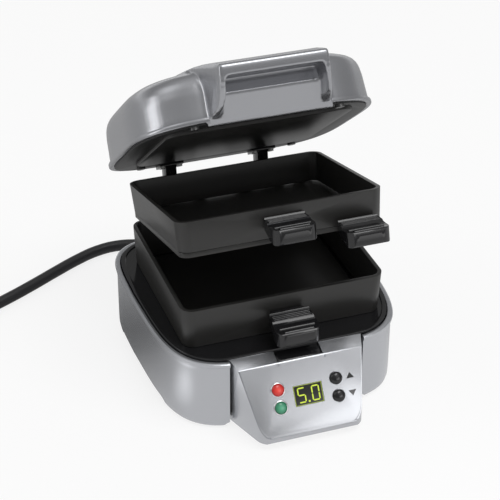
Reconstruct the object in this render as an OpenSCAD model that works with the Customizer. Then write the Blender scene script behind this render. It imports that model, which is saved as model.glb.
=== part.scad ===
// Breakfast sandwich maker: a timed base, two hinged square rings, a swivelling cooking
// plate between them and a domed lid, drawn part open. Millimetres. The origin is on the
// surface that the appliance stands on, under its middle, with the controls towards -Y.

/* [Base] */
// Half width of the base at its rim
base_half_w = 71.7; // [66:0.1:76]
// Distance from the middle to the front of the rim
base_front = 72; // [69:0.5:74]
// Distance from the middle to the back of the rim
base_back = 72; // [70:0.5:75]
// Height of the deck that the rings stand on
deck_z = 44; // [42:0.5:48]
// Thickness of the plastic walls of the base
base_wall = 2; // [1.6:0.1:2.6]
// How far the bright rim bead stands out from the wall
bead_out = 1; // [0.6:0.1:1.6]
// Height of the lower edge of the side walls above the table
skirt_z = 4.5; // [3.5:0.25:5]
// Thickness of the black deck
deck_t = 2.6; // [2:0.1:3]
// Height of the raised lip round the deck
deck_lip = 0.8; // [0.4:0.1:1.5]
// Diameter of a rubber foot
foot_d = 13; // [9:0.5:14]
// How far a rubber foot stands below the base
foot_out = 1; // [0.8:0.1:1.4]

/* [Control panel] */
// Half width of the fascia at its top edge
panel_top_half_w = 35.7; // [34:0.1:37]
// Half width of the fascia at its bottom edge
panel_low_half_w = 28.8; // [27:0.1:31]
// Distance from the middle forward to the top edge of the fascia
panel_top_y = 74.7; // [74:0.1:77]
// Distance from the middle forward to the bottom edge of the fascia
panel_low_y = 95.5; // [94:0.1:98]
// Drop from the deck to the top edge of the fascia
panel_drop = 2.9; // [2.4:0.1:4]
// Height of the bottom edge of the fascia above the table
panel_low_z = 8; // [7:0.1:9]
// Radius of the two front corners of the panel
panel_corner_r = 5; // [3:0.5:6]
// Thickness of the fascia
fascia_t = 1.8; // [1.4:0.1:2.2]
// Width of the time display's window
display_w = 16.6; // [14:0.2:18]
// Height of the time display's window
display_h = 11.2; // [9:0.2:12]
// Diameter of a lamp lens
lamp_d = 6.8; // [5:0.1:7.4]
// Diameter of a button cap
button_d = 7; // [5:0.1:7.4]
// How far a button travels when it is pressed
button_travel = 0.8; // [0.4:0.1:1]

/* [Rings] */
// Outer width of both rings, left to right
ring_w = 118; // [112:0.5:120]
// Outer depth of both rings, front to back
ring_d = 101.5; // [98:0.5:103]
// Wall thickness of the rings
ring_wall = 2.2; // [1.8:0.1:2.6]
// Outer corner radius of the rings
ring_r = 7; // [5:0.5:9]
// Height of the lower ring
lower_ring_h = 24; // [20:0.5:26]
// Height of the upper ring
upper_ring_h = 17; // [14:0.5:19]
// How much narrower each side of a ring is at its foot
ring_draft = 1; // [0:0.1:1.4]
// How far the upper ring stands open
upper_ring_open = 15.4; // [6:0.1:20]

/* [Cooking plate] */
// Thickness of the swivelling plate
plate_t = 2.6; // [2:0.1:3.4]
// How far the plate's edge lies inside the rings' outer face
plate_inset = 1.2; // [0.3:0.1:1.6]
// Distance of the swivel pin to the right of the middle
swivel_x = 50; // [49:0.5:51]
// Distance of the swivel pin behind the rings' back wall
swivel_back = 6.5; // [6:0.25:8]
// Diameter of the swivel pin
swivel_d = 4.4; // [3:0.1:5]
// Distance of the plate's handle to the right of the middle
plate_handle_x = 41.5; // [38:0.5:43]

/* [Handles] */
// Width of each black handle
handle_w = 25; // [21:0.5:26]
// Length of each black handle, front to back
handle_l = 19; // [17:0.5:22]
// Gap between a ring's wall and the back of the upper handle and the plate's handle
handle_away = 0.7; // [0.6:0.1:2]
// Gap between the lower ring's wall and the back of its handle
lower_handle_away = 4.3; // [1:0.1:6]
// Height of the front face of each black handle
handle_h = 9.5; // [8:0.25:10]
// Depth of the lower handle's top below the top of the lower ring
lower_handle_drop = 7.8; // [6:0.1:10]
// Depth of the upper handle's top below the top of the upper ring
upper_handle_drop = 4.8; // [4:0.1:6]
// Height of the plate handle's top above the plate
plate_handle_rise = 3.7; // [3:0.1:5]
// Width of each metal tab inside a handle
tab_w = 16; // [12:0.5:18]

/* [Lid] */
// Half width of the lid at its rim
lid_half_w = 70; // [67:0.1:73]
// Distance from the middle to the front of the lid's rim
lid_front = 63.3; // [60:0.1:66]
// Distance from the middle to the back of the lid's rim
lid_back = 72.2; // [70:0.1:74]
// Height of the dome above its rim
lid_h = 31; // [27:0.5:35]
// Thickness of the lid's wall
lid_wall = 2.2; // [1.6:0.1:2.6]
// How far the lid stands open, measured from closed
lid_open = 38.2; // [25:0.1:45]
// Half width of the lid's handle across its legs
grip_half_w = 30; // [28:0.5:33]
// Distance from the middle to the front of the lid's handle
grip_front = 84.2; // [80:0.1:88]
// Thickness of each leg of the lid's handle
grip_leg = 2.8; // [2:0.1:4]
// How far the lip below the lid's handle hangs below the rim
lip_drop = 2.6; // [1.6:0.1:3]

/* [Hinge] */
// Distance of the hinge pin behind the middle
hinge_y = 69.3; // [67:0.1:71]
// Height of the hinge pin above the top of the lower ring
hinge_rise = 7.3; // [6:0.1:9]
// Diameter of the hinge pin
pin_d = 5; // [4:0.1:6]
// Outer radius of each hinge knuckle
knuckle_r = 5.5; // [5:0.1:6]
// Width of each hinge knuckle
knuckle_w = 6.5; // [5:0.1:7]
// Gap between one knuckle and the next
knuckle_gap = 1; // [0.5:0.1:1.2]
// Distance from the middle to the innermost knuckle
knuckle_x = 10.5; // [8:0.5:11]

/* [Heating] */
// Width of both heating plates
heater_w = 107; // [100:0.5:108]
// Depth of both heating plates
heater_d = 90; // [86:0.5:90.5]
// How far the lower heating plate stands above the deck
lower_heater_rise = 1.5; // [1:0.1:1.6]
// How far the upper heating plate stands below the lid's rim
upper_heater_drop = 2.6; // [2:0.1:3.5]
// Diameter of the tubular heating elements
element_d = 6; // [5:0.1:7]

/* [Cord] */
// Diameter of the mains cord
cord_d = 7; // [6.2:0.1:7]
// Length of the moulded strain relief outside the base
relief_l = 24; // [24:0.5:24.5]
// Number of turns in the stored coil
coil_turns = 2.5; // [1.5:0.5:2.5]
// Radius of the outermost turn of the coil
coil_r = 46.5; // [46.5:0.1:48]
// Distance from one turn of the coil to the next
coil_pitch = 7.5; // [7.5:0.1:8]
// Width of the plug's body
plug_w = 24; // [20:0.5:26]
// Thickness of the plug's body
plug_h = 13; // [11:0.5:13]
// Length of the plug's body
plug_l = 30; // [26:0.5:34]

/* [Clearances] */
// Gap between flat faces that rest on each other across a joint
seat_gap = 0.3; // [0.2:0.05:0.4]
// Radial gap of a shaft in its bore
bore_gap = 0.05; // [0.03:0.01:0.08]
// Gap all round a piece that drops into an opening
fit_gap = 0.3; // [0.2:0.05:0.4]

/* [Hidden] */

// Colours as seen
silver = [0.62, 0.63, 0.65];
coated_black = [0.13, 0.13, 0.13];
plastic_black = [0.05, 0.05, 0.05];
bare_metal = [0.75, 0.75, 0.74];
board_green = [0.08, 0.3, 0.16];

// Levels of the closed stack, from the deck up
lower_ring_z = deck_z + seat_gap;
lower_ring_top = lower_ring_z + lower_ring_h;
plate_z = lower_ring_top + seat_gap;
upper_ring_z = plate_z + plate_t + seat_gap;
upper_ring_top = upper_ring_z + upper_ring_h;
lid_z = upper_ring_top + 4 * seat_gap;
hinge_z = lower_ring_top + hinge_rise;
ring_half_w = ring_w / 2;
ring_half_d = ring_d / 2;
hinge_drop = hinge_y - ring_half_d;

// The outlines of base and lid are widest a little behind the middle
base_wide_y = 12;
lid_wide_y = 3.1;
base_taper = 0.04;
outline_steps = 72;
base_squareness = 4.5;
lid_front_squareness = 3.4;

// Base wall, and the ledge that carries the deck
wall_in = bead_out;
cavity_in = wall_in + base_wall;
deck_in = cavity_in + fit_gap;
deck_bottom = deck_z - deck_t;
ledge_w = 4;
ledge_t = 2;
cover_t = 2.2;
foot_x = base_half_w - 18.7;
foot_front_y = -50;
foot_back_y = 54;
foot_sink = 0.8;
boss_r = 4;
boss_hole_r = 1.4;
boss_x = base_half_w - cavity_in - boss_r - 2;
deck_lip_w = 2.4;
screw_r = 1.3;
screw_head_r = 2.5;
screw_head_t = 1.6;

// The deck ends in a straight edge behind the panel
deck_front = 66.3;
panel_root_half_w = 38.6;
panel_root_y = 60;
panel_top_z = deck_z - panel_drop;
panel_floor_z = 4.2;
panel_wall = 2.2;
panel_lean = atan2(panel_low_y - panel_top_y, panel_top_z - panel_low_z);
panel_l = norm([panel_low_y - panel_top_y, panel_top_z - panel_low_z]);

// Places on the fascia, across and down from the middle of its top edge
lamp_x = -16;
button_x = 17.8;
display_x = 0.9;
display_down = 19.5;
row_one_down = 14;
row_two_down = 23.8;
button_flange_r = button_d / 2 + 1;
button_flange_t = 1.2;
button_sink = 0.4;
button_stem_r = 1.5;
button_stem_end = fascia_t + button_sink + button_flange_t + 1.4;
switch_top = button_stem_end + button_travel + 0.1;
board_depth = switch_top + 2.6;
board_t = 1.6;
board_half_w = 24.5;
board_top_down = 4;
board_low_down = 32;
board_post_x = 21.5;
board_post_one = 7;
board_post_two = 29.5;

// Hinge knuckles, from the middle outwards on each side
lower_knuckle_x = knuckle_x;
upper_knuckle_x = lower_knuckle_x + knuckle_w + knuckle_gap;
lid_knuckle_x = upper_knuckle_x + knuckle_w + knuckle_gap;
ear_x = lid_knuckle_x + knuckle_w + knuckle_gap;
ear_r = knuckle_r + 1;
pin_end = ear_x + knuckle_w + 2.4;
bracket_back = base_back - deck_in - deck_lip_w - 2.1;
bracket_t = 2.4;
bracket_screw_x = 18;
bracket_screw_y = 62;
clip_t = 1;
clip_r = pin_d / 2 + 2;

swivel_y = ring_half_d + swivel_back;
swivel_lug_r = 6.3;
swivel_lug_t = 5.5;
swivel_head_r = swivel_d / 2 + 1.8;
swivel_head_t = 1.4;

tab_t = 2.6;
tab_l = 8;
tab_rise = 2.2;
handle_wall = 2;
tab_screw = 4.5;
handle_floor = 1.8;
rib_r = 0.8;
lower_handle_z = lower_ring_top - lower_handle_drop;
upper_handle_z = upper_ring_top - upper_handle_drop;
plate_handle_z = plate_z + plate_t + plate_handle_rise;

// The dome, as heights and insets from its rim
dome_levels = [[0, 0], [2, 0], [2.6, 1.2], [0.42 * lid_h, 1.6], [0.66 * lid_h, 2.4],
    [0.78 * lid_h, 3.8], [0.88 * lid_h, 6.6], [0.945 * lid_h, 11], [0.98 * lid_h, 20],
    [lid_h, 38]];
liner_t = 2;
liner_in = lid_wall + 0.8;
liner_z = upper_ring_top + seat_gap;
lip_y = lid_front - 2.7;
lip_t = 2.8;
lip_flare = 5.4;
lip_half_w = grip_half_w + lip_flare;
ridge_y = lid_front + 6.5;
ridge_z = 11.7;
post_r = 3.2;
arm_screw_y = 58;
arm_screw_out = 2;

heater_r = 9;
heater_flange = 3.5;
heater_flange_t = 2;
shield_depth = 12;
shield_t = 1;
element_r = 26;
element_leg = 34;
lower_heater_top = deck_z + lower_heater_rise;
lower_heater_z = deck_bottom - heater_flange_t;
upper_heater_z = lid_z - upper_heater_drop;
upper_heater_top = liner_z + liner_t + heater_flange_t;

relief_x = -22;
relief_z = 14;
relief_y = base_back - bead_out;
relief_flange_t = 2;
cord_sides = 8;
coil_sides = 6;
coil_rings = 24;
coil_mid = [-185, 117];
coil_start = -64.5;
coil_climb = 110;
plug_lift = cord_d + plug_h / 2 + 0.4;
blade_gap = 12.7;
blade_w = 6.3;
blade_t = 1.5;
blade_l = 16;

// The cord's route on the table, from the strain relief to the coil
cord_points = [[-22, 95, 14], [-22, 103, 12.5], [-26, 115, 8], [-35, 125, 4.5],
    [-48, 129.5, 3.5], [-62, 127.5, 3.5], [-76, 121.5, 3.5], [-92, 112.5, 3.5],
    [-108, 103, 3.5], [-124, 94, 3.5], [-140, 86, 3.5], [-153, 80, 3.5]];

function unit(v) = v / norm(v);
function flip(v) = v < 0 ? -1 : 1;

// A rounded square that is widest at mid_y, with its own squareness at front and back
function outline(half_w, front, back, mid_y, front_n, back_n, taper) =
    [for (i = [0:outline_steps - 1])
        let (a = 360 * i / outline_steps,
            n = sin(a) < 0 ? front_n : back_n,
            reach = sin(a) < 0 ? front + mid_y : back - mid_y,
            y = reach * flip(sin(a)) * pow(abs(sin(a)), 2 / n),
            narrow = 1 + taper * min(0, y) / reach)
        [half_w * narrow * flip(cos(a)) * pow(abs(cos(a)), 2 / n), mid_y + y]];

function base_outline(inset) = outline(base_half_w - inset, base_front - inset,
    base_back - inset, base_wide_y, base_squareness, base_squareness, base_taper);

// How far forward the lid's outline reaches at a place across it
function lid_edge(x, inset) = (lid_front + lid_wide_y - inset)
    * pow(1 - pow(x / (lid_half_w - inset), lid_front_squareness), 1 / lid_front_squareness)
    - lid_wide_y;

// The liner's screws: in front midway between ring and edge, and behind near the corners
lid_screw_x = lid_half_w - 29;
lid_screw_places = [for (sx = [-1, 1], p = [
    [lid_screw_x, -(ring_half_d + lid_edge(lid_screw_x, liner_in)) / 2],
    [lid_half_w - 23, lid_back - 16.2]]) [sx * p[0], p[1]]];

function lid_outline(inset) = outline(lid_half_w - inset, lid_front - inset,
    lid_back - inset, lid_wide_y, lid_front_squareness, base_squareness, 0);

// Direction of a path at one of its points
function heading(path, i) =
    unit(path[min(i + 1, len(path) - 1)] - path[max(i - 1, 0)]);

function ring_round(path, i, radius, sides) =
    let (ahead = heading(path, i), side = unit(cross(ahead, [0, 0, 1])),
        up = cross(side, ahead))
    [for (k = [0:sides - 1])
        let (a = 360 * k / sides + 90)
        path[i] + radius * (cos(a) * side + sin(a) * up)];

// Centre line of the coil: a flat spiral whose inner end climbs onto the turns
function smooth(t) = t * t * (3 - 2 * t);
function coil_point(turned) =
    let (a = coil_start - turned, r = coil_r - coil_pitch * turned / 360,
        left = 360 * coil_turns - turned,
        rise = left < coil_climb ? smooth(1 - left / coil_climb) : 0)
    [coil_mid[0] + r * cos(a), coil_mid[1] + r * sin(a),
        cord_d / 2 + rise * (plug_lift - cord_d / 2)];
coil_steps = round(coil_turns * coil_rings);
coil_arc = [for (i = [0:coil_steps]) coil_point(360 * coil_turns * i / coil_steps)];
function level(v) = unit([v[0], v[1], 0]);
coil_in = level(coil_arc[1] - coil_arc[0]);
coil_out = level(coil_arc[coil_steps] - coil_arc[coil_steps - 1]);
coil_path = concat([coil_arc[0] - cord_d * coil_in], coil_arc,
    [coil_arc[coil_steps] + cord_d * coil_out]);
plug_at = coil_path[len(coil_path) - 1];
plug_turn = atan2(coil_out[1], coil_out[0]);
cord_path = concat([[relief_x, relief_y + relief_l, relief_z]],
    [for (i = [1:len(cord_points) - 1]) cord_points[i]], [coil_path[0]]);

// Least gap between turns, measured on points a half turn or more apart
turn_gaps = [for (i = [0:len(coil_arc) - 1], j = [i + coil_rings / 2:len(coil_arc) - 1])
    norm(coil_arc[i] - coil_arc[j]) - cord_d];
echo(coil_least_gap = min(turn_gaps));

module swept_tube(path, radius, sides) {
    last = len(path) - 1;
    points = [for (i = [0:last]) each ring_round(path, i, radius, sides)];
    skin = [for (i = [0:last - 1], k = [0:sides - 1])
        let (a = i * sides + k, b = i * sides + (k + 1) % sides)
        each [[a, b, b + sides], [a, b + sides, a + sides]]];
    start_cap = [for (k = [1:sides - 2]) [0, k + 1, k]];
    end_cap = [for (k = [1:sides - 2]) [last * sides, last * sides + k, last * sides + k + 1]];
    polyhedron(points = points, faces = concat(skin, start_cap, end_cap), convexity = 8);
}

// A closed skin over stacked outlines, each given as a list of points in space
module lofted(rings) {
    count = len(rings[0]);
    last = len(rings) - 1;
    points = [for (ring = rings) each ring];
    skin = [for (i = [0:last - 1], k = [0:count - 1])
        let (a = i * count + k, b = i * count + (k + 1) % count)
        each [[a, b + count, b], [a, a + count, b + count]]];
    floor_cap = [for (k = [1:count - 2]) [0, k, k + 1]];
    roof_cap = [for (k = [1:count - 2]) [last * count, last * count + k + 1, last * count + k]];
    polyhedron(points = points, faces = concat(skin, floor_cap, roof_cap), convexity = 6);
}

module slab(inset, low, high) {
    translate([0, 0, low]) linear_extrude(high - low) polygon(base_outline(inset));
}

module block(x0, x1, y0, y1, z0, z1) {
    translate([x0, y0, z0]) cube([x1 - x0, y1 - y0, z1 - z0]);
}

module rod(x0, x1, y, z, r) {
    translate([x0, y, z]) rotate([0, 90, 0]) cylinder(r = r, h = x1 - x0, $fn = 48);
}

// A side view in Y and Z, as wide as from x0 to x1
module side_cut(x0, x1, shape) {
    translate([x0, 0, 0]) rotate([90, 0, 90]) linear_extrude(x1 - x0) polygon(shape);
}

// Pieces turned open about the hinge pin
module opened(angle) {
    translate([0, hinge_y, hinge_z]) rotate([-angle, 0, 0])
        translate([0, -hinge_y, -hinge_z]) children();
}

module both_sides() {
    children();
    mirror([1, 0, 0]) children();
}

// The fascia's own frame: x across, y up the slope, z out of its face
module on_fascia() {
    translate([0, -panel_top_y, panel_top_z]) rotate([90 - panel_lean, 0, 0]) children();
}

module screw(length) {
    cylinder(r = screw_r, h = length, $fn = 24);
    translate([0, 0, -screw_head_t]) cylinder(r = screw_head_r, h = screw_head_t, $fn = 32);
}

module square_ring(w, d, r, h, draft) {
    hull() {
        for (sx = [-1, 1], sy = [-1, 1]) {
            translate([sx * (w / 2 - r), sy * (d / 2 - r), h - 0.01])
                cylinder(r = r, h = 0.01, $fn = 32);
            translate([sx * (w / 2 - r - draft), sy * (d / 2 - r - draft), 0])
                cylinder(r = r, h = 0.01, $fn = 32);
        }
    }
}

module rounded_plate(w, d, r, t) {
    linear_extrude(t) {
        square([w - 2 * r, d], center = true);
        square([w, d - 2 * r], center = true);
        for (sx = [-1, 1], sy = [-1, 1])
            translate([sx * (w / 2 - r), sy * (d / 2 - r)]) circle(r = r, $fn = 48);
    }
}

function cover_screw_places() =
    [for (sx = [-1, 1], y = [-20, 34]) [sx * boss_x, y]];

module base_shell() {
    color(silver) difference() {
        union() {
            difference() {
                union() {
                    slab(wall_in, foot_out, deck_z - 0.2);
                    slab(0.5 * bead_out, deck_z - 3, deck_z - 0.3);
                    slab(0, deck_z - 2.5, deck_z - 0.8);
                }
                slab(cavity_in, 0, deck_bottom - ledge_t);
                slab(cavity_in, deck_bottom, deck_z + 1);
                slab(cavity_in + ledge_w, 0, deck_z + 1);
            }
            for (p = cover_screw_places())
                translate([p[0], p[1], skirt_z + cover_t])
                    cylinder(r = boss_r, h = deck_bottom - ledge_t - skirt_z - cover_t, $fn = 32);
        }
        for (p = cover_screw_places())
            translate([p[0], p[1], skirt_z + cover_t - 1])
                cylinder(r = boss_hole_r, h = 12, $fn = 24);
        // Raised edge between the corner feet
        block(-100, 100, -40, 38, 0, skirt_z);
        block(-43, 43, -100, 100, 0, skirt_z);
        // Opening for the panel housing
        block(-panel_root_half_w - fit_gap, panel_root_half_w + fit_gap, -100,
            -panel_root_y + 0.5, 0, deck_z + 1);
        // Hole for the strain relief
        translate([relief_x, 0, relief_z]) rotate([-90, 0, 0])
            cylinder(r = cord_d / 2 + 1.2, h = 100, $fn = 40);
    }
}

module deck() {
    color(plastic_black) difference() {
        intersection() {
            union() {
                slab(deck_in, deck_bottom, deck_z);
                difference() {
                    slab(deck_in, deck_z, deck_z + deck_lip);
                    intersection() {
                        slab(deck_in + deck_lip_w, deck_z, deck_z + 1 + deck_lip);
                        block(-100, 100, -deck_front + deck_lip_w, 100, 0, 100);
                    }
                }
            }
            block(-100, 100, -deck_front, 100, 0, 100);
        }
        translate([0, 0, deck_bottom - 1])
            rounded_plate(heater_w + 2 * fit_gap, heater_d + 2 * fit_gap, heater_r + fit_gap, 9);
        for (sx = [-1, 1]) translate([sx * bracket_screw_x, bracket_screw_y, deck_bottom - 1])
            cylinder(r = screw_r + 0.2, h = 9, $fn = 24);
    }
}

module base_cover() {
    color(plastic_black) difference() {
        union() {
            difference() {
                slab(deck_in, skirt_z, skirt_z + cover_t);
                block(-panel_root_half_w - 1, panel_root_half_w + 1, -100, -panel_root_y + 1,
                    0, 100);
            }
            for (sx = [-1, 1], y = [foot_front_y, foot_back_y])
                translate([sx * foot_x, y, foot_out])
                    cylinder(r = foot_d / 2 + 1, h = skirt_z - foot_out + 0.5, $fn = 40);
        }
        for (sx = [-1, 1], y = [foot_front_y, foot_back_y])
            translate([sx * foot_x, y, 0])
                cylinder(r = foot_d / 2, h = foot_out + foot_sink, $fn = 40);
        for (p = cover_screw_places()) translate([p[0], p[1], 0])
            cylinder(r = screw_r + 0.2, h = 20, $fn = 24);
        for (i = [-4:4]) block(-26, 26, 8 * i - 2, 8 * i + 2, 0, 20);
    }
}

module rubber_feet() {
    color(plastic_black) for (sx = [-1, 1], y = [foot_front_y, foot_back_y])
        translate([sx * foot_x, y, 0])
            cylinder(r = foot_d / 2 - 0.1, h = foot_out + foot_sink, $fn = 40);
}

module cover_screws() {
    color(bare_metal) for (p = cover_screw_places()) translate([p[0], p[1], skirt_z]) screw(9);
}

module panel_plan(margin, front) {
    // Plan of the panel: parallel where it enters the base, then narrowing to the front
    r = panel_corner_r;
    slope = (panel_top_half_w - panel_low_half_w) / (panel_low_y - panel_top_y);
    function half_at(y) = panel_low_half_w - margin + slope * (panel_low_y - y);
    function side_line(y) = min(panel_root_half_w - margin, half_at(y));
    lean = atan(slope);
    cx = half_at(front) - r * (1 - sin(lean)) / cos(lean);
    corner = [for (k = [0:8]) let (a = -90 + k * (90 - lean) / 8)
        [cx + r * cos(a), -(front - r) + r * sin(a)]];
    right = concat(corner, [[side_line(panel_top_y), -panel_top_y],
        [side_line(deck_front), -deck_front], [side_line(deck_front), -panel_root_y]]);
    left = [for (i = [len(right) - 1:-1:0]) [-right[i][0], right[i][1]]];
    linear_extrude(60) polygon(concat(right, left));
}

module panel_housing() {
    lip_y = panel_low_y + 0.5;
    back = panel_root_y;
    outer = [[-deck_front - 0.2, deck_z - 0.2], [-panel_top_y, panel_top_z],
        [-panel_low_y, panel_low_z], [-lip_y, panel_low_z - 2], [-lip_y + 1, panel_floor_z],
        [-back, panel_floor_z], [-back, deck_bottom - 0.1], [-deck_front - 0.2, deck_bottom - 0.1]];
    color(silver) difference() {
        intersection() {
            side_cut(-50, 50, outer);
            panel_plan(0, lip_y);
        }
        // The fascia takes the sloping face
        on_fascia() block(-50, 50, -panel_l, 0, -fascia_t, 5);
        // Hollow behind it
        intersection() {
            side_cut(-50, 50, [[-back + 1, deck_bottom - panel_wall],
                [-panel_top_y + 1.5, deck_bottom - panel_wall],
                [-panel_low_y + 2, panel_floor_z + panel_wall],
                [-back + 1, panel_floor_z + panel_wall]]);
            panel_plan(panel_wall, lip_y - panel_wall);
        }
        on_fascia() block(-panel_low_half_w + 4, panel_low_half_w - 4, 3.5 - panel_l, -3.5, -12, 0);
    }
}

module fascia() {
    color(silver) difference() {
        union() {
            intersection() {
                on_fascia() block(-50, 50, -panel_l, 0, -fascia_t, 0);
                panel_plan(0, panel_low_y + 0.5);
            }
            on_fascia() for (sx = [-1, 1], down = [board_post_one, board_post_two])
                translate([sx * board_post_x, -down, -board_depth])
                    cylinder(r = 2.2, h = board_depth - fascia_t + 0.2, $fn = 32);
        }
        on_fascia() {
            for (down = [row_one_down, row_two_down]) {
                translate([lamp_x, -down, -4]) cylinder(r = lamp_d / 2 + 0.1, h = 9, $fn = 40);
                translate([button_x, -down, -4]) cylinder(r = button_d / 2 + 0.2, h = 9, $fn = 40);
            }
            block(display_x - display_w / 2 - 0.1, display_x + display_w / 2 + 0.1,
                -display_down - display_h / 2 - 0.1, -display_down + display_h / 2 + 0.1, -4, 5);
            for (sx = [-1, 1], down = [board_post_one, board_post_two])
                translate([sx * board_post_x, -down, -board_depth - 1])
                    cylinder(r = 1.1, h = board_depth - fascia_t - 1, $fn = 24);
        }
    }
}

module display_window() {
    color(plastic_black) on_fascia()
        block(display_x - display_w / 2, display_x + display_w / 2,
            -display_down - display_h / 2, -display_down + display_h / 2, -fascia_t, -0.3);
}

module display_module() {
    color([0.2, 0.2, 0.2]) on_fascia()
        block(display_x - display_w / 2 - 1, display_x + display_w / 2 + 1,
            -display_down - display_h / 2 - 1, -display_down + display_h / 2 + 1,
            -board_depth, -fascia_t);
}

module lamp(down) {
    on_fascia() translate([lamp_x, -down, 0]) {
        translate([0, 0, -fascia_t]) cylinder(r = lamp_d / 2, h = fascia_t + 0.4, $fn = 40);
        translate([0, 0, -fascia_t - 1]) cylinder(r = lamp_d / 2 + 0.8, h = 1, $fn = 40);
        translate([0, 0, -board_depth]) cylinder(r = 2.5, h = board_depth - fascia_t, $fn = 32);
        intersection() {
            translate([0, 0, 0.4 - lamp_d * 0.2]) sphere(r = lamp_d * 0.54, $fn = 40);
            translate([0, 0, 0.4]) cylinder(r = lamp_d / 2, h = 5, $fn = 40);
        }
    }
}

module power_lens() {
    color([0.75, 0.08, 0.07]) lamp(row_one_down);
}

module preheat_lens() {
    color([0.1, 0.45, 0.3]) lamp(row_two_down);
}

module button(down) {
    on_fascia() translate([button_x, -down, 0]) {
        translate([0, 0, -fascia_t - button_sink - button_flange_t])
            cylinder(r = button_flange_r, h = button_flange_t, $fn = 40);
        translate([0, 0, -button_stem_end])
            cylinder(r = button_stem_r, h = button_stem_end - fascia_t, $fn = 24);
        translate([0, 0, -fascia_t - button_sink - 0.1])
            cylinder(r = button_d / 2, h = fascia_t + button_sink + 1.1, $fn = 40);
        intersection() {
            translate([0, 0, 1 - button_d * 0.2]) sphere(r = button_d * 0.54, $fn = 40);
            translate([0, 0, 0.9]) cylinder(r = button_d / 2, h = 6, $fn = 40);
        }
    }
}

module up_button() {
    color(plastic_black) button(row_one_down);
}

module down_button() {
    color(plastic_black) button(row_two_down);
}

module button_switches() {
    color(plastic_black) on_fascia() for (down = [row_one_down, row_two_down])
        translate([button_x, -down, 0]) {
            block(-3, 3, -3, 3, -board_depth, -switch_top - 0.6);
            translate([0, 0, -switch_top - 0.7]) cylinder(r = 1.6, h = 0.7, $fn = 24);
        }
}

module control_board() {
    color(board_green) difference() {
        on_fascia() block(-board_half_w, board_half_w, -board_low_down, -board_top_down,
            -board_depth - board_t, -board_depth);
        on_fascia() for (sx = [-1, 1], down = [board_post_one, board_post_two])
            translate([sx * board_post_x, -down, -board_depth - 5])
                cylinder(r = screw_r, h = 9, $fn = 24);
    }
}

module board_screws() {
    color(bare_metal) on_fascia() for (sx = [-1, 1], down = [board_post_one, board_post_two])
        translate([sx * board_post_x, -down, -board_depth - board_t]) {
            cylinder(r = 1, h = 5, $fn = 24);
            translate([0, 0, -1.2]) cylinder(r = 2, h = 1.2, $fn = 32);
        }
}

module board_relay() {
    color([0.15, 0.25, 0.5]) on_fascia()
        block(-14, 0, -17, -7, -board_depth - board_t - 12, -board_depth - board_t);
}

module board_capacitor() {
    color([0.3, 0.3, 0.35]) on_fascia() translate([12, -13, -board_depth - board_t - 11])
        cylinder(r = 4, h = 11, $fn = 40);
}

module lower_heating_plate() {
    color(coated_black) translate([0, 0, lower_heater_z]) {
        rounded_plate(heater_w, heater_d, heater_r, lower_heater_top - lower_heater_z);
        rounded_plate(heater_w + 2 * heater_flange, heater_d + 2 * heater_flange,
            heater_r + heater_flange, heater_flange_t);
    }
}

// A U of sheathed tube that lies against a heating plate
module element_u(z) {
    translate([0, 0, z]) {
        rotate([0, 0, 180]) rotate_extrude(angle = 180, $fn = 64)
            translate([element_r, 0]) circle(r = element_d / 2, $fn = 24);
        for (sx = [-1, 1]) translate([sx * element_r, 0, 0]) rotate([-90, 0, 0])
            cylinder(r = element_d / 2, h = element_leg, $fn = 24);
    }
}

module lower_element() {
    color(bare_metal) element_u(lower_heater_z - element_d / 2);
}

module lower_thermostat() {
    color([0.7, 0.66, 0.55]) {
        translate([0, 0, lower_heater_z - 4]) cylinder(r = 8, h = 4, $fn = 40);
        translate([0, 0, lower_heater_z - 11]) cylinder(r = 6, h = 7.5, $fn = 40);
    }
}

module thermal_fuse() {
    color(bare_metal) translate([-8, 20, lower_heater_z - 2]) rotate([0, 90, 0])
        cylinder(r = 2, h = 16, $fn = 32);
}

module heat_shield() {
    floor_z = lower_heater_z - shield_depth;
    shield_w = 2 * (boss_x - boss_r - 2.7);
    shield_d = heater_d + 5;
    color(bare_metal) difference() {
        translate([0, 0, floor_z]) rounded_plate(shield_w, shield_d, heater_r, shield_depth);
        translate([0, 0, floor_z + shield_t])
            rounded_plate(shield_w - 2 * shield_t, shield_d - 2 * shield_t,
                heater_r - shield_t, shield_depth);
        translate([0, 0, floor_z - 1]) cylinder(r = 10, h = 9, $fn = 48);
        for (sx = [-1, 1]) translate([sx * element_r, element_leg - 4, floor_z - 1])
            cylinder(r = 5, h = 9, $fn = 40);
    }
}

module terminal_block() {
    color([0.85, 0.84, 0.78]) block(-36, -12, 44, 54, skirt_z + cover_t, skirt_z + cover_t + 12);
}

module lead(from, to, r) {
    span = to - from;
    translate(from) rotate([0, acos(span[2] / norm(span)), atan2(span[1], span[0])])
        cylinder(r = r, h = norm(span), $fn = 16);
}

module base_leads() {
    z = skirt_z + cover_t;
    color([0.55, 0.1, 0.08]) {
        lead([relief_x, relief_y - base_wall - 2.5, relief_z], [relief_x, 54.2, relief_z], 2);
        lead([-36, 50, z + 4], [-44, 50, z + 4], 1.2);
        lead([-44, 50, z + 4], [-44, -40, z + 4], 1.2);
        lead([-44, -40, z + 4], [-20, -58, z + 4], 1.2);
    }
}

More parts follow.
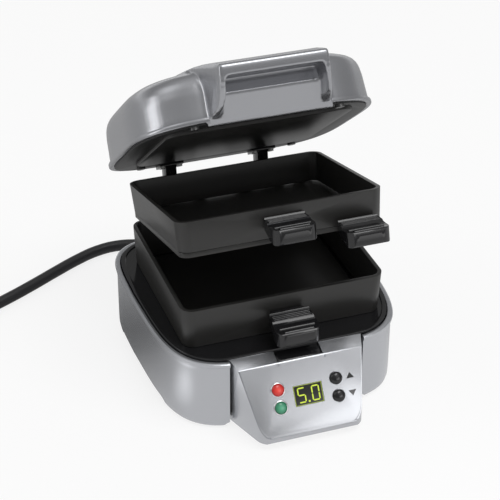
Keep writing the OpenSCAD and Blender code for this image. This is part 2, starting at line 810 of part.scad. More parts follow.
module hinge_bracket() {
    color(plastic_black) difference() {
        union() {
            both_sides() {
                rod(ear_x, ear_x + knuckle_w, hinge_y, hinge_z, ear_r);
                side_cut(ear_x, ear_x + knuckle_w, [[54, deck_z], [bracket_back, deck_z],
                    [hinge_y + ear_r, hinge_z], [hinge_y - ear_r, hinge_z]]);
            }
            block(-ear_x - 1, ear_x + 1, 56, bracket_back, deck_z, deck_z + bracket_t);
        }
        rod(-60, 60, hinge_y, hinge_z, pin_d / 2 + bore_gap);
        for (sx = [-1, 1]) translate([sx * bracket_screw_x, bracket_screw_y, deck_z - 1])
            cylinder(r = screw_r + 0.2, h = 9, $fn = 24);
    }
}

module bracket_screws() {
    color(bare_metal) for (sx = [-1, 1])
        translate([sx * bracket_screw_x, bracket_screw_y, deck_z + bracket_t])
            rotate([180, 0, 0]) screw(8);
}

module hinge_pin() {
    color(bare_metal) difference() {
        rod(-pin_end, pin_end, hinge_y, hinge_z, pin_d / 2);
        both_sides() difference() {
            rod(pin_end - 2, pin_end - 2 + clip_t, hinge_y, hinge_z, pin_d);
            rod(pin_end - 3, pin_end, hinge_y, hinge_z, pin_d / 2 - 0.5);
        }
    }
}

module pin_clips() {
    color(bare_metal) both_sides() difference() {
        rod(pin_end - 2, pin_end - 2 + clip_t, hinge_y, hinge_z, clip_r);
        rod(pin_end - 4, pin_end, hinge_y, hinge_z, pin_d / 2 - 0.45);
        block(0, 100, hinge_y - 1.8, hinge_y + 1.8, hinge_z - 10, hinge_z);
    }
}

// Two lugs that join a ring's back wall to the hinge pin
module ring_lugs(x, low, high) {
    both_sides() {
        rod(x, x + knuckle_w, hinge_y, hinge_z, knuckle_r);
        side_cut(x, x + knuckle_w, [[ring_half_d - 1.6, low], [ring_half_d + 2, low],
            [hinge_y + 1, hinge_z - knuckle_r], [hinge_y + 2, hinge_z + knuckle_r - 0.8],
            [hinge_y - 2, hinge_z + knuckle_r - 0.8], [ring_half_d - 1.6, high]]);
    }
}

module pin_bore() {
    rod(-60, 60, hinge_y, hinge_z, pin_d / 2 + bore_gap);
}

// Tab on a front wall that a handle slides over
module handle_tab(x, top, away) {
    difference() {
        block(x - tab_w / 2, x + tab_w / 2, -ring_half_d - away - tab_l, -ring_half_d + 1.2,
            top - tab_t, top);
        translate([x, -ring_half_d - away - tab_screw, top - 10])
            cylinder(r = screw_r + 0.1, h = 20, $fn = 24);
    }
}

module lower_ring() {
    h = lower_ring_h;
    color(coated_black) difference() {
        union() {
            difference() {
                translate([0, 0, lower_ring_z])
                    square_ring(ring_w, ring_d, ring_r, h, ring_draft);
                translate([0, 0, lower_ring_z - 1])
                    square_ring(ring_w - 2 * ring_wall, ring_d - 2 * ring_wall,
                        ring_r - ring_wall, h + 2, ring_draft);
            }
            ring_lugs(lower_knuckle_x, lower_ring_top - 15, lower_ring_top - 4);
            handle_tab(0, lower_handle_z - tab_rise, lower_handle_away);
        }
        pin_bore();
    }
}

// A black handle: ribbed on top, hollow below, with a front face that leans back
module grip(x, z, tab_top, away) {
    back = -ring_half_d - away;
    front = back - handle_l;
    shape = [[back, z], [front + 1.5, z - 1.5], [front, z - 3.2],
        [front + 1.6, z - 1.7 - handle_h], [front + 3.8, z - 1.7 - handle_h],
        [back, z - 7]];
    difference() {
        union() {
            side_cut(x - handle_w / 2, x + handle_w / 2, shape);
            for (k = [0:3]) rod(x - handle_w / 2 + 0.5, x + handle_w / 2 - 0.5,
                back - 1.2 - k * (handle_l - 4.4) / 3, z - 0.1 - 0.42 * k, rib_r);
        }
        // Slot for the tab
        block(x - tab_w / 2 - fit_gap, x + tab_w / 2 + fit_gap,
            back - tab_l - fit_gap, 0, tab_top - tab_t - fit_gap, tab_top + fit_gap);
        // Hollow under the front edge
        block(x - handle_w / 2 + handle_wall, x + handle_w / 2 - handle_wall,
            front + 4.2, back - tab_l - 1.5, z - 20, z - 3.5 - handle_wall);
        translate([x, back - tab_screw, z - 20])
            cylinder(r = screw_r + 0.2, h = 20 - 3, $fn = 24);
        // Countersunk seat of the screw's head
        translate([x, back - tab_screw, tab_top - tab_t - fit_gap - handle_floor - 20])
            cylinder(r = screw_head_r + 0.3, h = 20, $fn = 32);
    }
}

module grip_screw(x, tab_top, away) {
    translate([x, -ring_half_d - away - tab_screw, tab_top - tab_t - fit_gap - handle_floor])
        screw(handle_floor + fit_gap + tab_t - 1.1);
}

module lower_ring_handle() {
    color(plastic_black) grip(0, lower_handle_z, lower_handle_z - tab_rise, lower_handle_away);
}

module lower_handle_screw() {
    color(bare_metal) grip_screw(0, lower_handle_z - tab_rise, lower_handle_away);
}

module upper_ring() {
    h = upper_ring_h;
    color(coated_black) opened(upper_ring_open) difference() {
        union() {
            difference() {
                translate([0, 0, upper_ring_z])
                    square_ring(ring_w, ring_d, ring_r, h, ring_draft);
                translate([0, 0, upper_ring_z - 1])
                    square_ring(ring_w - 2 * ring_wall, ring_d - 2 * ring_wall,
                        ring_r - ring_wall, h + 2, ring_draft);
            }
            ring_lugs(upper_knuckle_x, upper_ring_z + 1, upper_ring_z + 11);
            handle_tab(0, upper_handle_z - tab_rise, handle_away);
            // Lug that carries the swivel pin
            translate([swivel_x, swivel_y, upper_ring_z])
                cylinder(r = swivel_lug_r, h = swivel_lug_t, $fn = 48);
            block(swivel_x - swivel_lug_r, swivel_x + 3, ring_half_d - 2, swivel_y,
                upper_ring_z, upper_ring_z + swivel_lug_t);
        }
        pin_bore();
        translate([swivel_x, swivel_y, upper_ring_z - 5])
            cylinder(r = swivel_d / 2 + bore_gap, h = 30, $fn = 40);
    }
}

module upper_ring_handle() {
    color(plastic_black) opened(upper_ring_open)
        grip(0, upper_handle_z, upper_handle_z - tab_rise, handle_away);
}

module upper_handle_screw() {
    color(bare_metal) opened(upper_ring_open) grip_screw(0, upper_handle_z - tab_rise, handle_away);
}

module swivel_pin() {
    low = plate_z - 0.2;
    high = upper_ring_z + swivel_lug_t + 0.2;
    color(bare_metal) opened(upper_ring_open) translate([swivel_x, swivel_y, 0]) {
        translate([0, 0, low - 0.5]) cylinder(r = swivel_d / 2, h = high - low + 1, $fn = 40);
        translate([0, 0, low - swivel_head_t])
            cylinder(r = swivel_head_r, h = swivel_head_t, $fn = 40);
        translate([0, 0, high]) cylinder(r = swivel_head_r - 0.4, h = swivel_head_t, $fn = 40);
    }
}

module cooking_plate() {
    color(coated_black) opened(upper_ring_open) difference() {
        translate([0, 0, plate_z]) union() {
            rounded_plate(ring_w - 2 * plate_inset, ring_d - 2 * plate_inset,
                ring_r - plate_inset, plate_t);
            translate([swivel_x, swivel_y, 0])
                cylinder(r = swivel_lug_r, h = plate_t, $fn = 48);
            block(swivel_x - swivel_lug_r, swivel_x + swivel_lug_r, ring_half_d - 10, swivel_y,
                0, plate_t);
            block(plate_handle_x - tab_w / 2, plate_handle_x + tab_w / 2,
                -ring_half_d - handle_away - tab_l, -ring_half_d + 8, 0, plate_t);
        }
        translate([swivel_x, swivel_y, plate_z - 5])
            cylinder(r = swivel_d / 2 + bore_gap, h = 30, $fn = 40);
        translate([plate_handle_x, -ring_half_d - handle_away - tab_screw, plate_z - 10])
            cylinder(r = screw_r + 0.1, h = 30, $fn = 24);
    }
}

module plate_handle() {
    color(plastic_black) opened(upper_ring_open)
        grip(plate_handle_x, plate_handle_z, plate_z + plate_t, handle_away);
}

module plate_handle_screw() {
    color(bare_metal) opened(upper_ring_open)
        grip_screw(plate_handle_x, plate_z + plate_t, handle_away);
}

// The lid's dome, grown inwards by the thickness wall
module dome(wall, low) {
    lofted([for (i = [0:len(dome_levels) - 1])
        let (h = dome_levels[i][0], inset = dome_levels[i][1] + wall)
        [for (p = lid_outline(inset))
            [p[0], p[1], lid_z + (i == 0 ? low : h - wall * smooth(h / lid_h))]]]);
}

// A front view in X and Z given by its right half, as deep as from y0 to y1
module front_cut(y0, y1, right) {
    left = [for (i = [len(right) - 1:-1:0]) [-right[i][0], right[i][1]]];
    translate([0, y1, 0]) rotate([90, 0, 0]) linear_extrude(y1 - y0) polygon(concat(right, left));
}

// Handle as a solid: a lip below the rim, a front that curves up and forward, and a crown
module grip_form() {
    intersection() {
        side_cut(-50, 50, [[-lip_y + lip_t, -lip_drop], [-lip_y + 1, -lip_drop],
            [-lip_y, 0.8 - lip_drop], [-lip_y - 1.4, 0.6], [-grip_front + 17.5, 1.2],
            [-grip_front + 10.7, 4], [-grip_front + 6.2, 9], [-grip_front + 2.7, 15],
            [-grip_front, lid_h - 8.4],
            [-grip_front, lid_h - 7], [-grip_front + 1.8, lid_h - 6],
            [-lid_front + 3.3, lid_h - 0.7], [-lid_front + 19, lid_h + 0.4],
            [-lid_front + 27, lid_h], [-lid_front + 27, lid_h - 6], [-lip_y + lip_t + 4, 9]]);
        front_cut(-100, 0, [[lip_half_w, -lip_drop - 1], [lip_half_w - 0.8, 0.6],
            [grip_half_w + 2.2, 2.6], [grip_half_w + 1, 6], [grip_half_w, lid_h - 8.4],
            [grip_half_w + 0.6, lid_h - 2.2], [grip_half_w + 2.4, lid_h - 0.7],
            [grip_half_w + 10, lid_h + 0.5]]);
    }
}

// Room for the fingers, between the legs and in front of a ridged panel
module grip_pocket() {
    inner = grip_half_w - grip_leg;
    intersection() {
        side_cut(-50, 50, [[-lip_y + 0.4, -lip_drop - 0.6], [-lip_y - 0.3, 1 - lip_drop],
            [-lip_y - 1.6, 0.4], [-ridge_y + 0.6, ridge_z - 1.3], [-ridge_y, ridge_z],
            [-ridge_y + 3.8, ridge_z + 8.1], [-ridge_y - 1.2, lid_h - 10.4],
            [-grip_front + 4.2, lid_h - 12.6], [-grip_front - 10, lid_h - 14],
            [-grip_front - 10, 5], [-grip_front + 9, -lip_drop - 0.6]]);
        front_cut(-110, 0, [[inner + lip_flare + 1.6, -lip_drop - 0.6], [inner + lip_flare, -1.6],
            [inner + 1.8, 0.4], [inner, 4], [inner, lid_h - 8]]);
    }
}

// The room inside the lid, less what stands behind the handle's lip
module lid_room() {
    difference() {
        dome(lid_wall, -5);
        translate([0, 0, lid_z]) side_cut(-lip_half_w, lip_half_w,
            [[-lip_y + lip_t, -6], [-lip_y + lip_t, 3.4], [-100, 3.4], [-100, -6]]);
    }
}

module lid_shell() {
    color(silver) opened(lid_open) difference() {
        union() {
            difference() {
                union() {
                    dome(0, 0);
                    translate([0, 0, lid_z]) grip_form();
                }
                translate([0, 0, lid_z]) grip_pocket();
                lid_room();
            }
            // Posts for the liner's screws
            intersection() {
                for (p = lid_screw_places) translate([p[0], p[1], liner_z + liner_t])
                    cylinder(r = post_r, h = lid_h, $fn = 24);
                dome(lid_wall / 2, 0);
            }
        }
        for (p = lid_screw_places) translate([p[0], p[1], 0])
            cylinder(r = screw_r + 0.1, h = liner_z + liner_t + 8, $fn = 24);
    }
}

module lid_liner() {
    color(coated_black) opened(lid_open) difference() {
        translate([0, 0, liner_z]) linear_extrude(liner_t) polygon(lid_outline(liner_in));
        // Notch behind the handle's lip
        block(-lip_half_w - fit_gap, lip_half_w + fit_gap, -100, -lip_y + lip_t + fit_gap,
            0, 200);
        translate([0, 0, liner_z - 1])
            rounded_plate(heater_w + 2 * fit_gap, heater_d + 2 * fit_gap, heater_r + fit_gap, 9);
        for (p = lid_screw_places) translate([p[0], p[1], liner_z - 1])
            cylinder(r = screw_r + 0.2, h = 9, $fn = 24);
    }
}

module liner_screws() {
    color(bare_metal) opened(lid_open) for (p = lid_screw_places)
        translate([p[0], p[1], liner_z]) screw(8);
}

module upper_heating_plate() {
    color(coated_black) opened(lid_open) {
        translate([0, 0, upper_heater_z])
            rounded_plate(heater_w, heater_d, heater_r, upper_heater_top - upper_heater_z);
        difference() {
            translate([0, 0, liner_z + liner_t])
                rounded_plate(heater_w + 2 * heater_flange, heater_d + 2 * heater_flange,
                    heater_r + heater_flange, heater_flange_t);
            for (p = lid_screw_places) translate([p[0], p[1], liner_z + liner_t - 1])
                cylinder(r = post_r + fit_gap, h = heater_flange_t + 2, $fn = 24);
        }
    }
}

module upper_element() {
    color(bare_metal) opened(lid_open) element_u(upper_heater_top + element_d / 2);
}

module upper_thermostat() {
    color([0.7, 0.66, 0.55]) opened(lid_open) {
        translate([0, 0, upper_heater_top]) cylinder(r = 8, h = 4, $fn = 40);
        translate([0, 0, upper_heater_top + 3.5]) cylinder(r = 6, h = 6, $fn = 40);
    }
}

module lid_arms() {
    color(plastic_black) opened(lid_open) difference() {
        both_sides() {
            rod(lid_knuckle_x, lid_knuckle_x + knuckle_w, hinge_y, hinge_z, knuckle_r);
            side_cut(lid_knuckle_x, lid_knuckle_x + knuckle_w,
                [[hinge_y - knuckle_r, hinge_z], [hinge_y + knuckle_r - 1, hinge_z],
                    [lid_back - 6, liner_z], [56, liner_z]]);
            block(lid_knuckle_x - 4, lid_knuckle_x + knuckle_w + 4, 54, 65, liner_z - 2, liner_z);
        }
        pin_bore();
        for (sx = [-1, 1], dx = [-arm_screw_out, knuckle_w + arm_screw_out])
            translate([sx * (lid_knuckle_x + dx), arm_screw_y, liner_z - 5])
                cylinder(r = 1, h = 20, $fn = 24);
    }
}

module arm_screws() {
    color(bare_metal) opened(lid_open)
        for (sx = [-1, 1], dx = [-arm_screw_out, knuckle_w + arm_screw_out])
            translate([sx * (lid_knuckle_x + dx), arm_screw_y, liner_z - 2]) {
                cylinder(r = 0.9, h = 1.9, $fn = 24);
                translate([0, 0, -1]) cylinder(r = 1.8, h = 1, $fn = 24);
            }
}

module lid_leads() {
    z = upper_heater_top + element_d / 2;
    color([0.55, 0.1, 0.08]) opened(lid_open) for (sx = [-1, 1])
        lead([sx * element_r, element_leg, z], [sx * element_r, 58, z], 1.2);
}

module strain_relief() {
    color(plastic_black) translate([relief_x, relief_y, relief_z]) rotate([-90, 0, 0]) {
        translate([0, 0, -base_wall - 2.4]) cylinder(r = cord_d / 2 + 2.4, h = 2, $fn = 40);
        translate([0, 0, -base_wall - 1]) cylinder(r = cord_d / 2 + 1, h = base_wall + 1.5, $fn = 40);
        cylinder(r = cord_d / 2 + 2.4, h = relief_flange_t, $fn = 40);
        translate([0, 0, relief_flange_t - 0.5])
            cylinder(r1 = cord_d / 2 + 1.9, r2 = cord_d / 2 + 0.5, h = relief_l - 1.5, $fn = 40);
    }
}

module cord_run() {
    color(plastic_black) swept_tube(cord_path, cord_d / 2, cord_sides);
}

module cord_coil() {
    color(plastic_black) swept_tube(coil_path, cord_d / 2, coil_sides);
}

module plug_frame() {
    translate(plug_at) rotate([0, 0, plug_turn]) children();
}

module plug_body() {
    color(plastic_black) plug_frame() {
        rotate([0, 90, 0]) cylinder(r1 = cord_d / 2 + 0.5, r2 = cord_d / 2 + 1.6, h = 10, $fn = 40);
        translate([9, -plug_w / 2, -plug_h / 2]) cube([plug_l - 9, plug_w, plug_h]);
    }
}

module plug_blades() {
    color(bare_metal) plug_frame() for (sy = [-1, 1])
        block(plug_l, plug_l + blade_l, sy * blade_gap / 2 - blade_t / 2,
            sy * blade_gap / 2 + blade_t / 2, -blade_w / 2, blade_w / 2);
}

base_shell();
deck();
base_cover();
rubber_feet();
cover_screws();
panel_housing();
fascia();
display_window();
display_module();
power_lens();
preheat_lens();
up_button();
down_button();
button_switches();
control_board();
board_screws();
board_relay();
board_capacitor();
lower_heating_plate();
lower_element();
lower_thermostat();
thermal_fuse();
heat_shield();
terminal_block();
base_leads();
hinge_bracket();
bracket_screws();
hinge_pin();
pin_clips();
lower_ring();
lower_ring_handle();
lower_handle_screw();
upper_ring();
upper_ring_handle();
upper_handle_screw();
swivel_pin();
cooking_plate();
plate_handle();
plate_handle_screw();
lid_shell();
lid_liner();
liner_screws();
upper_heating_plate();
upper_element();
upper_thermostat();
lid_arms();
arm_screws();
lid_leads();
strain_relief();
cord_run();
cord_coil();
plug_body();
plug_blades();
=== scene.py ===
from math import atan2, cos, pi, radians, sin

import bmesh
import bpy
from mathutils import Matrix, Quaternion, Vector
from mathutils.kdtree import KDTree


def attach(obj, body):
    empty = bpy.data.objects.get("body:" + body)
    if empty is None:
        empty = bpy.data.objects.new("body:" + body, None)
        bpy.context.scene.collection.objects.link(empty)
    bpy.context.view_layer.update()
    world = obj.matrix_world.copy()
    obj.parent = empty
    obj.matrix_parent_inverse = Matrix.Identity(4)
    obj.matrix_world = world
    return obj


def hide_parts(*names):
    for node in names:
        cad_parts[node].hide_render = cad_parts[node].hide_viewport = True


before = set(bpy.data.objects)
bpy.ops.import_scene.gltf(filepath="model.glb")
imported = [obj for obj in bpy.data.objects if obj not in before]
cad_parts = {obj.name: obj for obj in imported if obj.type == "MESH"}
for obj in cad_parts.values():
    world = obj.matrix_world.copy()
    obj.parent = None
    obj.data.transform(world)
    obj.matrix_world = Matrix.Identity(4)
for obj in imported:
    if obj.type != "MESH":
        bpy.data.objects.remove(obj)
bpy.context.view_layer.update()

# The camera stands in front of the appliance, a little to its left and about 32 degrees
# above the worktop, with a long lens. It was fitted to the edges of the photograph.
looks_at = Vector((0, 0.001, 0.068))
distance = 0.9487
azimuth = radians(-19.87)
elevation = radians(31.85)
roll = radians(0.36)
backwards = Vector((sin(azimuth) * cos(elevation), -cos(azimuth) * cos(elevation),
                    sin(elevation)))
camera_data = bpy.data.cameras.new("camera")
camera_data.sensor_width = 36
camera_data.lens = 119.7
camera_data.shift_x = -0.0084
camera_data.shift_y = -0.0054
camera = bpy.data.objects.new("camera", camera_data)
bpy.context.collection.objects.link(camera)
camera.location = looks_at + distance * backwards
level_view = backwards.to_track_quat("Z", "Y")
camera.rotation_euler = (level_view @ Quaternion((0, 0, 1), roll)).to_euler()
bpy.context.scene.camera = camera


# The mains cord is a flexible lead in a smooth black extruded jacket, 7 mm thick and
# 0.77 m long. It leaves the back of the base, drops to the worktop, runs out to the left and
# lies in a flat coil of two and a half turns, as for storage.
cord_thickness = 0.007
lying = cord_thickness / 2


class Level:
    """A number that varies over a surface: sums and products on it become Math nodes."""

    def __init__(self, finish, socket):
        self.finish = finish
        self.socket = socket

    def maths(self, operation, *values):
        node = self.finish.add("Math", {"operation": operation})
        for place, value in enumerate(values):
            self.finish.feed(node.inputs[place], value)
        return Level(self.finish, node.outputs[0])

    def __add__(self, other):
        return self.maths("ADD", self, other)

    def __sub__(self, other):
        return self.maths("SUBTRACT", self, other)

    def __rsub__(self, other):
        return self.maths("SUBTRACT", other, self)

    def __mul__(self, other):
        return self.maths("MULTIPLY", self, other)

    def __truediv__(self, other):
        return self.maths("DIVIDE", self, other)

    def __pow__(self, other):
        return self.maths("POWER", self, other)

    def __gt__(self, other):
        return self.maths("GREATER_THAN", self, other)

    __radd__ = __add__
    __rmul__ = __mul__


class Finish:
    """A surface finish: a shader with fixed settings, and nodes that vary its looks."""

    def __init__(self, name, **fixed):
        self.material = bpy.data.materials.new(name)
        self.material.use_nodes = True
        self.tree = self.material.node_tree
        self.shader = self.tree.nodes["Principled BSDF"]
        self.set(**fixed)

    def feed(self, socket, value):
        if isinstance(value, Level):
            value = value.socket
        if isinstance(value, bpy.types.NodeSocket):
            self.tree.links.new(value, socket)
        elif isinstance(value, tuple) and len(value) == 3 and socket.type == "RGBA":
            socket.default_value = (*value, 1)
        else:
            socket.default_value = value

    def set(self, **values):
        for name, value in values.items():
            self.feed(self.shader.inputs[name.replace("_", " ")], value)

    def add(self, kind, settings=None, **values):
        node = self.tree.nodes.new("ShaderNode" + kind)
        for name, value in (settings or {}).items():
            setattr(node, name, value)
        for name, value in values.items():
            self.feed(node.inputs[name.replace("_", " ")], value)
        return node

    def place(self):
        return self.add("TexCoord").outputs["Object"]

    def noise(self, per_metre, detail, stretch=(1, 1, 1)):
        moved = self.add("Mapping", Vector=self.place(), Scale=stretch)
        cloud = self.add("TexNoise", Vector=moved.outputs[0], Scale=per_metre, Detail=detail)
        return Level(self, cloud.outputs[0])

    def blend(self, share, first, second):
        mixer = self.add("Mix", {"data_type": "RGBA"})
        for place, value in ((0, share), (6, first), (7, second)):
            self.feed(mixer.inputs[place], value)
        return mixer.outputs[2]

    def bump(self, height, strength, depth):
        bumped = self.add("Bump", Strength=strength, Distance=depth, Height=height)
        self.set(Normal=bumped.outputs[0])


def dress(node, finish):
    """Gives a finish to a node of the frame or to a new piece."""
    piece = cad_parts[node] if isinstance(node, str) else node
    piece.data.materials.clear()
    piece.data.materials.append(finish.material)
    return piece


jacket = Finish("cord_jacket", Roughness=0.42, Base_Color=(0.02, 0.02, 0.022))
jacket.bump(jacket.noise(900, 3), 0.25, 0.0002)

relief_tip = (-0.022, 0.095, 0.014)
route = [relief_tip, (-0.022, 0.103, 0.0125), (-0.026, 0.115, 0.008), (-0.035, 0.125, 0.0045),
         (-0.048, 0.1295, lying), (-0.062, 0.1275, lying), (-0.076, 0.1215, lying),
         (-0.092, 0.1125, lying), (-0.108, 0.103, lying), (-0.124, 0.094, lying),
         (-0.14, 0.086, lying), (-0.153, 0.08, lying)]
coil_middle = (-0.185, 0.117)
coil_start = -64.5
coil_turns = 2.5
coil_radius = 0.0465
coil_pitch = 0.0075
coil_climb = 110
coil_steps = 60
plug_height = 0.013
plug_gap = 0.0004
plug_lift = cord_thickness + plug_height / 2 + plug_gap


def coil_point(turned):
    """A point on the coil, a flat spiral whose inner end climbs onto the turns."""
    angle = radians(coil_start - turned)
    radius = coil_radius - coil_pitch * turned / 360
    climbed = max(0, 1 - (360 * coil_turns - turned) / coil_climb)
    rise = climbed * climbed * (3 - 2 * climbed)
    return Vector((coil_middle[0] + radius * cos(angle), coil_middle[1] + radius * sin(angle),
                   lying + rise * (plug_lift - lying)))


def level_step(first, second):
    """A step one cord's thickness long, level, in the direction of two points."""
    step = second - first
    step.z = 0
    return cord_thickness * step.normalized()


turns = [coil_point(360 * coil_turns * step / coil_steps) for step in range(coil_steps + 1)]
coil_entry = turns[0] - level_step(turns[0], turns[1])
plug_entry = turns[-1] + level_step(turns[-2], turns[-1])
route += [coil_entry, *turns, plug_entry]

lead_line = bpy.data.curves.new("mains_cord", "CURVE")
lead_line.dimensions = "3D"
lead_line.bevel_depth = cord_thickness / 2
lead_line.bevel_resolution = 5
lead_line.resolution_u = 6
lead_line.use_fill_caps = True
spline = lead_line.splines.new("BEZIER")
spline.bezier_points.add(len(route) - 1)
for knot, spot in zip(spline.bezier_points, route):
    knot.co = spot
    knot.handle_left_type = knot.handle_right_type = "AUTO"
mains_cord = bpy.data.objects.new("mains_cord", lead_line)
bpy.context.collection.objects.link(mains_cord)
dress(mains_cord, jacket)
blade_brass = Finish("blade_brass", Metallic=1.0, Roughness=0.3, Base_Color=(0.78, 0.62, 0.32))
blade_brass.bump(blade_brass.noise(700, 2, (1, 6, 1)), 0.15, 0.0001)
dress("plug_blades", blade_brass)
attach(mains_cord, "base")
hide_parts("cord_run", "cord_coil")


# The strain relief is a ribbed sleeve of the same soft black plastic, clipped into the
# back wall, and the plug at the other end is moulded on in one piece with its own ribs.
relief_root = Vector((-0.022, 0.071, 0.014))
plug_heading = level_step(turns[-2], turns[-1]).normalized()


def closed_line(name, spots, fill="NOTHING"):
    """Starts a piece with a closed line through the spots, all selected in edit mode."""
    bpy.ops.object.select_all(action="DESELECT")
    bpy.ops.mesh.primitive_circle_add(vertices=len(spots), fill_type=fill)
    piece = bpy.context.object
    piece.name = piece.data.name = name
    for corner, spot in zip(piece.data.vertices, spots):
        corner.co = spot
    bpy.ops.object.mode_set(mode="EDIT")
    bpy.ops.mesh.select_all(action="SELECT")
    return piece


def hoops(name, rings):
    """A skin drawn up from ring to ring: each ring is a list of points, all equally long."""
    piece = closed_line(name, rings[0])
    for before, after in zip(rings, rings[1:]):
        bpy.ops.mesh.extrude_region_move()
        nearest = KDTree(len(before))
        for number, spot in enumerate(before):
            nearest.insert(spot, number)
        nearest.balance()
        mesh = bmesh.from_edit_mesh(piece.data)
        for corner in [corner for corner in mesh.verts if corner.select]:
            corner.co = after[nearest.find(corner.co)[1]]
        bmesh.update_edit_mesh(piece.data)
    return piece


def close_up(piece, cap=False):
    """Leaves edit mode with doubles merged, open ends capped if asked, faces outwards."""
    bpy.ops.mesh.select_all(action="SELECT")
    bpy.ops.mesh.remove_doubles(threshold=0.00001)
    if cap:
        bpy.ops.mesh.select_all(action="DESELECT")
        bpy.ops.mesh.select_non_manifold()
        bpy.ops.mesh.fill_holes(sides=0)
        bpy.ops.mesh.select_all(action="SELECT")
    bpy.ops.mesh.normals_make_consistent(inside=False)
    bpy.ops.object.mode_set(mode="OBJECT")
    return piece


def pick(piece):
    """Selects one piece alone and makes it the active one."""
    bpy.ops.object.select_all(action="DESELECT")
    piece.select_set(True)
    bpy.context.view_layer.objects.active = piece


def smooth(piece, degrees=35):
    """Shades a piece smooth, with crisp edges where it turns by more than the angle."""
    pick(piece)
    bpy.ops.object.shade_smooth_by_angle(angle=radians(degrees))
    return piece


def fit_out(piece, finish, body, slot, *nodes):
    """Finishes a new piece: its looks, the body it rides on and the nodes it replaces."""
    dress(piece, finish)
    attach(piece, body)
    if nodes:
        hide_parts(*nodes)
    return piece


def squared_ring(half_wide, front, back, middle, squareness, taper=0, steps=96):
    """Points round a rounded square that is widest at middle, front squareness first."""
    spots = []
    for step in range(steps):
        angle = 2 * pi * step / steps
        power = 2 / squareness[0 if sin(angle) < 0 else 1]
        reach = front + middle if sin(angle) < 0 else back - middle
        along = reach * (1 if sin(angle) > 0 else -1) * abs(sin(angle)) ** power
        across = half_wide * (1 if cos(angle) > 0 else -1) * abs(cos(angle)) ** power
        spots.append(Vector((across * (1 + taper * min(0, along) / reach), middle + along, 0)))
    return spots


def sleeve(name, start, heading, sections):
    """A body along a heading: sections list (distance, half width, half height, squareness)."""
    turn = heading.to_track_quat("Z", "Y").to_matrix()
    rings = []
    for away, half_wide, half_high, squareness in sections:
        ring = squared_ring(half_wide / 1000, half_high / 1000, half_high / 1000, 0,
                            (squareness, squareness), steps=40)
        rings.append([start + turn @ (spot + Vector((0, 0, away / 1000))) for spot in ring])
    return close_up(hoops(name, rings), cap=True)


relief_line = [(-4.2, 5.6), (-4, 5.9), (-2.6, 5.9), (-2.4, 4.5), (-0.1, 4.5), (0, 5.6),
               (0.3, 5.85), (1.7, 5.85), (2, 5.6)]
for rib in range(7):
    start_out = 2.1 + 2.7 * rib
    thick = 5.2 - 0.2 * rib
    relief_line += [(start_out, thick - 0.7), (start_out + 0.9, thick - 0.7),
                    (start_out + 1.1, thick), (start_out + 2.4, thick - 0.15)]
relief_line += [(21.4, 3.9), (23.4, 3.85), (23.9, 3.6)]
relief = sleeve("strain_relief_sleeve", relief_root, Vector((0, 1, 0)),
                [(away, thick, thick, 2) for away, thick in relief_line])
fit_out(smooth(relief, 50), jacket, "base", "rubber", "strain_relief")
plug_line = [(0, 3.7, 3.7, 2)]
for rib in range(3):
    plug_line += [(1.2 + 2.6 * rib, 4 + 0.3 * rib, 4 + 0.3 * rib, 2),
                  (2.6 + 2.6 * rib, 4.2 + 0.3 * rib, 4.2 + 0.3 * rib, 2),
                  (2.8 + 2.6 * rib, 3.7 + 0.3 * rib, 3.7 + 0.3 * rib, 2)]
plug_line += [(9.2, 5, 4.9, 2.3), (10.4, 8.6, 5.6, 3), (12, 10.8, 6.2, 4), (14.5, 11.8, 6.45, 5),
              (17, 12, 6.5, 5), (19, 11.6, 6.2, 5), (24, 11.6, 6.2, 5), (25, 12, 6.5, 5),
              (28.6, 12, 6.5, 5), (29.6, 11.5, 6.1, 5), (30, 10.6, 5.4, 5)]
plug = sleeve("plug", plug_entry, plug_heading, plug_line)
fit_out(smooth(plug, 50), jacket, "base", "cord_jacket", "plug_body")


# The room is a plain white sweep under an even sky, with a big soft lamp above, a tall one
# at the left and a small card low in front on the right. The camera sees plain white. Polished
# surfaces see the floor with painted light and shade in place of its own lighting: brighter in
# front, a painted pool of light off the base's front left corner, and painted shadow beside the
# base.
floor_half = 3.0
floor_shine = 1.06
floor_whiteness = 0.76
front_reach = 0.08
sky_level = 0.5
horizon_height = 0.3
bpy.ops.object.select_all(action="DESELECT")
bpy.ops.mesh.primitive_plane_add(size=2 * floor_half)
floor = bpy.context.object
floor.name = "floor"
white = Finish("white_floor", Roughness=0.9, Base_Color=(0.86, 0.86, 0.86))


def at_least(level, least=0):
    return level.maths("MAXIMUM", level, least)


def on_rays(finish, kind):
    """A level that is 1 on rays of a kind, such as Camera or Glossy, and 0 on all others."""
    return Level(finish, finish.add("LightPath").outputs[f"Is {kind} Ray"])


def near(finish, spot, middle, radius):
    """A level that falls evenly from 1 at a place to 0 at a radius from it."""
    away = finish.add("VectorMath", {"operation": "DISTANCE"})
    finish.feed(away.inputs[0], spot)
    away.inputs[1].default_value = middle
    return at_least(1 - Level(finish, away.outputs["Value"]) / radius)


floor_spot = white.place()
to_camera = on_rays(white, "Camera")
mirrored = on_rays(white, "Glossy")
depth = Level(white, white.add("SeparateXYZ", Vector=floor_spot).outputs["Y"])
in_front = at_least(0.02 - depth) / front_reach
in_front = in_front.maths("MINIMUM", in_front, 1)
